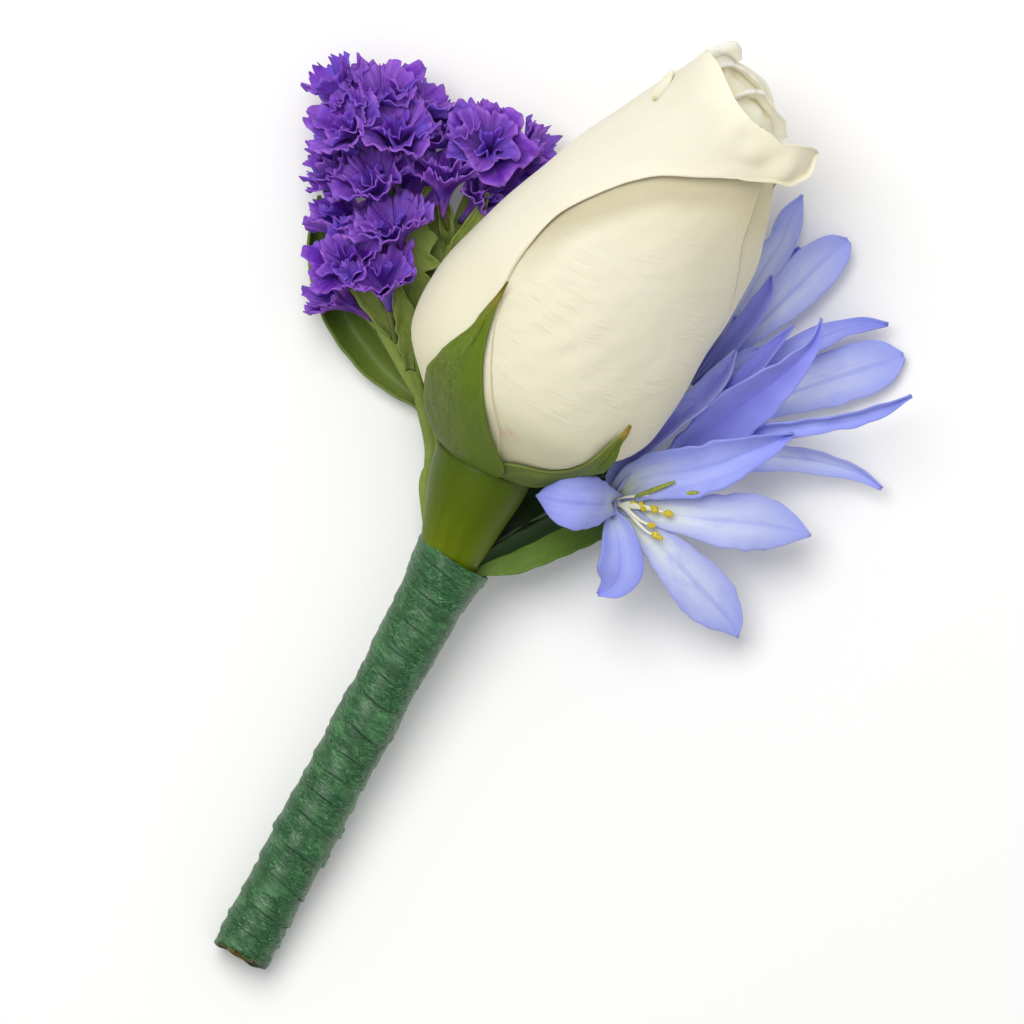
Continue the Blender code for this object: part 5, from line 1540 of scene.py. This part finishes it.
# bracts of the statice: which stem they belong to, and their blades
bracts = {
    "left": [
        dict(path=[(-15.4, 71.6, 6.2, 0.6), (-17.4, 75.0, 7.8, 1.3), (-19.4, 77.6, 9.4, 1.2),
                   (-21.6, 80.0, 10.6, 0.2)],
             wavy=0.15, wavySize=2.4, seed=2),
        dict(path=[(-19.0, 74.2, 6.2, 0.6), (-22.4, 76.0, 8.0, 1.2), (-25.6, 77.2, 9.4, 1.0),
                   (-28.0, 78.2, 10.4, 0.2)],
             wavy=0.15, wavySize=2.4, seed=8),
    ],
    "middle": [
        dict(path=[(-15.0, 74.4, 6.0, 0.6), (-17.4, 77.0, 7.4, 1.4), (-19.4, 80.2, 8.8, 2.0),
                   (-20.9, 84.2, 9.8, 2.0), (-23.6, 87.8, 10.6, 1.3), (-26.0, 90.2, 11.0, 0.2)],
             wavy=0.28, wavySize=1.8, seed=3),
        dict(path=[(-13.6, 73.4, 6.6, 0.5), (-14.9, 76.6, 8.0, 1.2), (-15.9, 80.4, 9.2, 1.5),
                   (-17.4, 84.0, 10.0, 0.2)],
             wavy=0.28, wavySize=1.8, seed=5),
        dict(path=[(-22.0, 83.4, 6.0, 0.5), (-25.0, 86.6, 8.0, 1.3), (-27.6, 89.4, 9.6, 1.1),
                   (-30.0, 92.4, 11.0, 0.2)],
             wavy=0.2, wavySize=2.4, seed=9),
        dict(path=[(-16.6, 76.0, 5.2, 0.8), (-18.2, 80.0, 6.2, 2.2), (-20.2, 84.4, 6.8, 2.9),
                   (-22.0, 88.6, 7.4, 2.6), (-23.8, 92.0, 8.0, 0.4)],
             wavy=0.25, wavySize=2.0, seed=15),
    ],
    "right": [
        dict(path=[(-16.6, 82.4, 6.4, 0.5), (-17.0, 86.0, 8.6, 1.1), (-16.8, 90.3, 10.0, 1.1),
                   (-17.0, 94.8, 11.0, 0.15)],
             wavy=0.06, seed=7),
        dict(path=[(-17.8, 86.0, 6.4, 0.5), (-19.4, 88.6, 8.6, 0.9), (-21.2, 91.0, 10.0, 0.7),
                   (-22.6, 93.0, 11.0, 0.15)],
             wavy=0.1, seed=12),
    ],
}


# the three stems of the statice with wings that come and go along them, and their bracts
def makeStaticeStems():
    finish = leafFinish("staticeGreen",
                        [(0.0, colour(88, 104, 44)), (0.5, colour(110, 128, 48)),
                         (1.0, colour(118, 138, 56))], colour(144, 158, 88), 0.6, Specular_IOR_Level=0.2)
    for name, look in staticeStems.items():
        path = route(staticePath(name), 220)
        share = np.linspace(0, 1, 220)[:, None]
        turn = np.linspace(0, 2 * math.pi, 28, endpoint=False)[None, :]
        step = 0.55 + 0.45 * np.abs(np.sin(share * 30 + look["seed"])) ** 0.5
        out = ease(share, 0.62, 0.7)
        radii = 0.42 + 0 * share + look["wing"] * out * step * np.abs(np.cos(turn)) ** 5
        radii = radii + 0.04 * np.cos(turn * 5) * out
        shells = [tube(path, radii, 28, look["seed"])]
        for bract in bracts[name]:
            bract = dict(bract, ripple=0.2, rippleSize=3, fold=[(0, 0.3), (1, 0.3)])
            shells.append(sheet(blade(bract, 40, 17), 0.22, bract["seed"]))
        node = "statice_stem_" + name
        makePiece(node, shells, finish, [node])


makeStatice()
makeStaticeStems()
print("statice done")


# the picture: the place at its middle, the way that is up in it and how wide it is at that place
view = dict(middle=(3.6, 62.3, 15), up=(-0.47344, 0.88083, 0), width=122.9, lens=1000, sensor=36)


# a camera straight above, at the distance where its lens takes in that width
def makeView():
    centre = toRow(view["middle"])
    distance = view["width"] * mm * view["lens"] / view["sensor"]
    data = bpy.data.cameras.new("camera")
    data.lens, data.sensor_width = view["lens"], view["sensor"]
    data.clip_start, data.clip_end = 0.05, 20
    camera = bpy.data.objects.new("camera", data)
    bpy.context.scene.collection.objects.link(camera)
    camera.location = centre + np.array([0, 0, distance])
    camera.rotation_euler = (0, 0, math.atan2(-view["up"][0], view["up"][1]))
    bpy.context.scene.camera = camera


lamps = [
    dict(name="windowLight", place=(-135, 250, 610), size=460, power=3.2, tone=(1.0, 0.985, 0.96)),
    dict(name="fillLight", place=(20, 0, 760), size=1100, power=1.25, tone=(0.97, 0.985, 1.0)),
]


# round lamps that look at the middle of the object; places are along the picture's right and up
def makeLamps():
    up = np.array(view["up"])
    right = np.array([up[1], -up[0], 0])
    centre = toRow(view["middle"])
    for lamp in lamps:
        data = bpy.data.lights.new(lamp["name"], "AREA")
        data.shape = "DISK"
        data.size, data.energy, data.color = lamp["size"] * mm, lamp["power"], lamp["tone"]
        made = bpy.data.objects.new(lamp["name"], data)
        bpy.context.scene.collection.objects.link(made)
        x, y, z = np.array(lamp["place"]) * mm
        made.location = centre + x * right + y * up + np.array([0, 0, z])
        aim = mathutils.Vector((centre - np.array(made.location)).tolist())
        made.rotation_euler = aim.to_track_quat("-Z", "Y").to_euler()


studio = dict(sky=0.43, floor=0.88, glow=0.05, side=3.0)    # strengths, and half the floor's side in metres


# an even sky and a pale paper floor
def makeFloor():
    world = bpy.data.worlds.new("studio")
    bpy.context.scene.world = world
    world.use_nodes = True
    sky = world.node_tree.nodes["Background"]
    sky.inputs["Color"].default_value = (1.0, 1.0, 1.0, 1)
    sky.inputs["Strength"].default_value = studio["sky"]
    side = studio["side"]
    mesh = bpy.data.meshes.new("floor")
    corners = [(-side, -side, 0), (side, -side, 0), (side, side, 0), (-side, side, 0)]
    mesh.from_pydata(corners, [], [(0, 1, 2, 3)])
    paper = Finish("paper", 0.9, Specular_IOR_Level=0.0)
    paper.shader.inputs["Base Color"].default_value = (studio["floor"],) * 3 + (1,)
    paper.shader.inputs["Emission Color"].default_value = (1, 1, 1, 1)
    paper.shader.inputs["Emission Strength"].default_value = studio["glow"]
    mesh.materials.append(paper.material)
    floor = bpy.data.objects.new("floor", mesh)
    bpy.context.scene.collection.objects.link(floor)


makeView()
makeLamps()
makeFloor()
bpy.context.scene.view_settings.view_transform = "Standard"

print("boutonniere done")
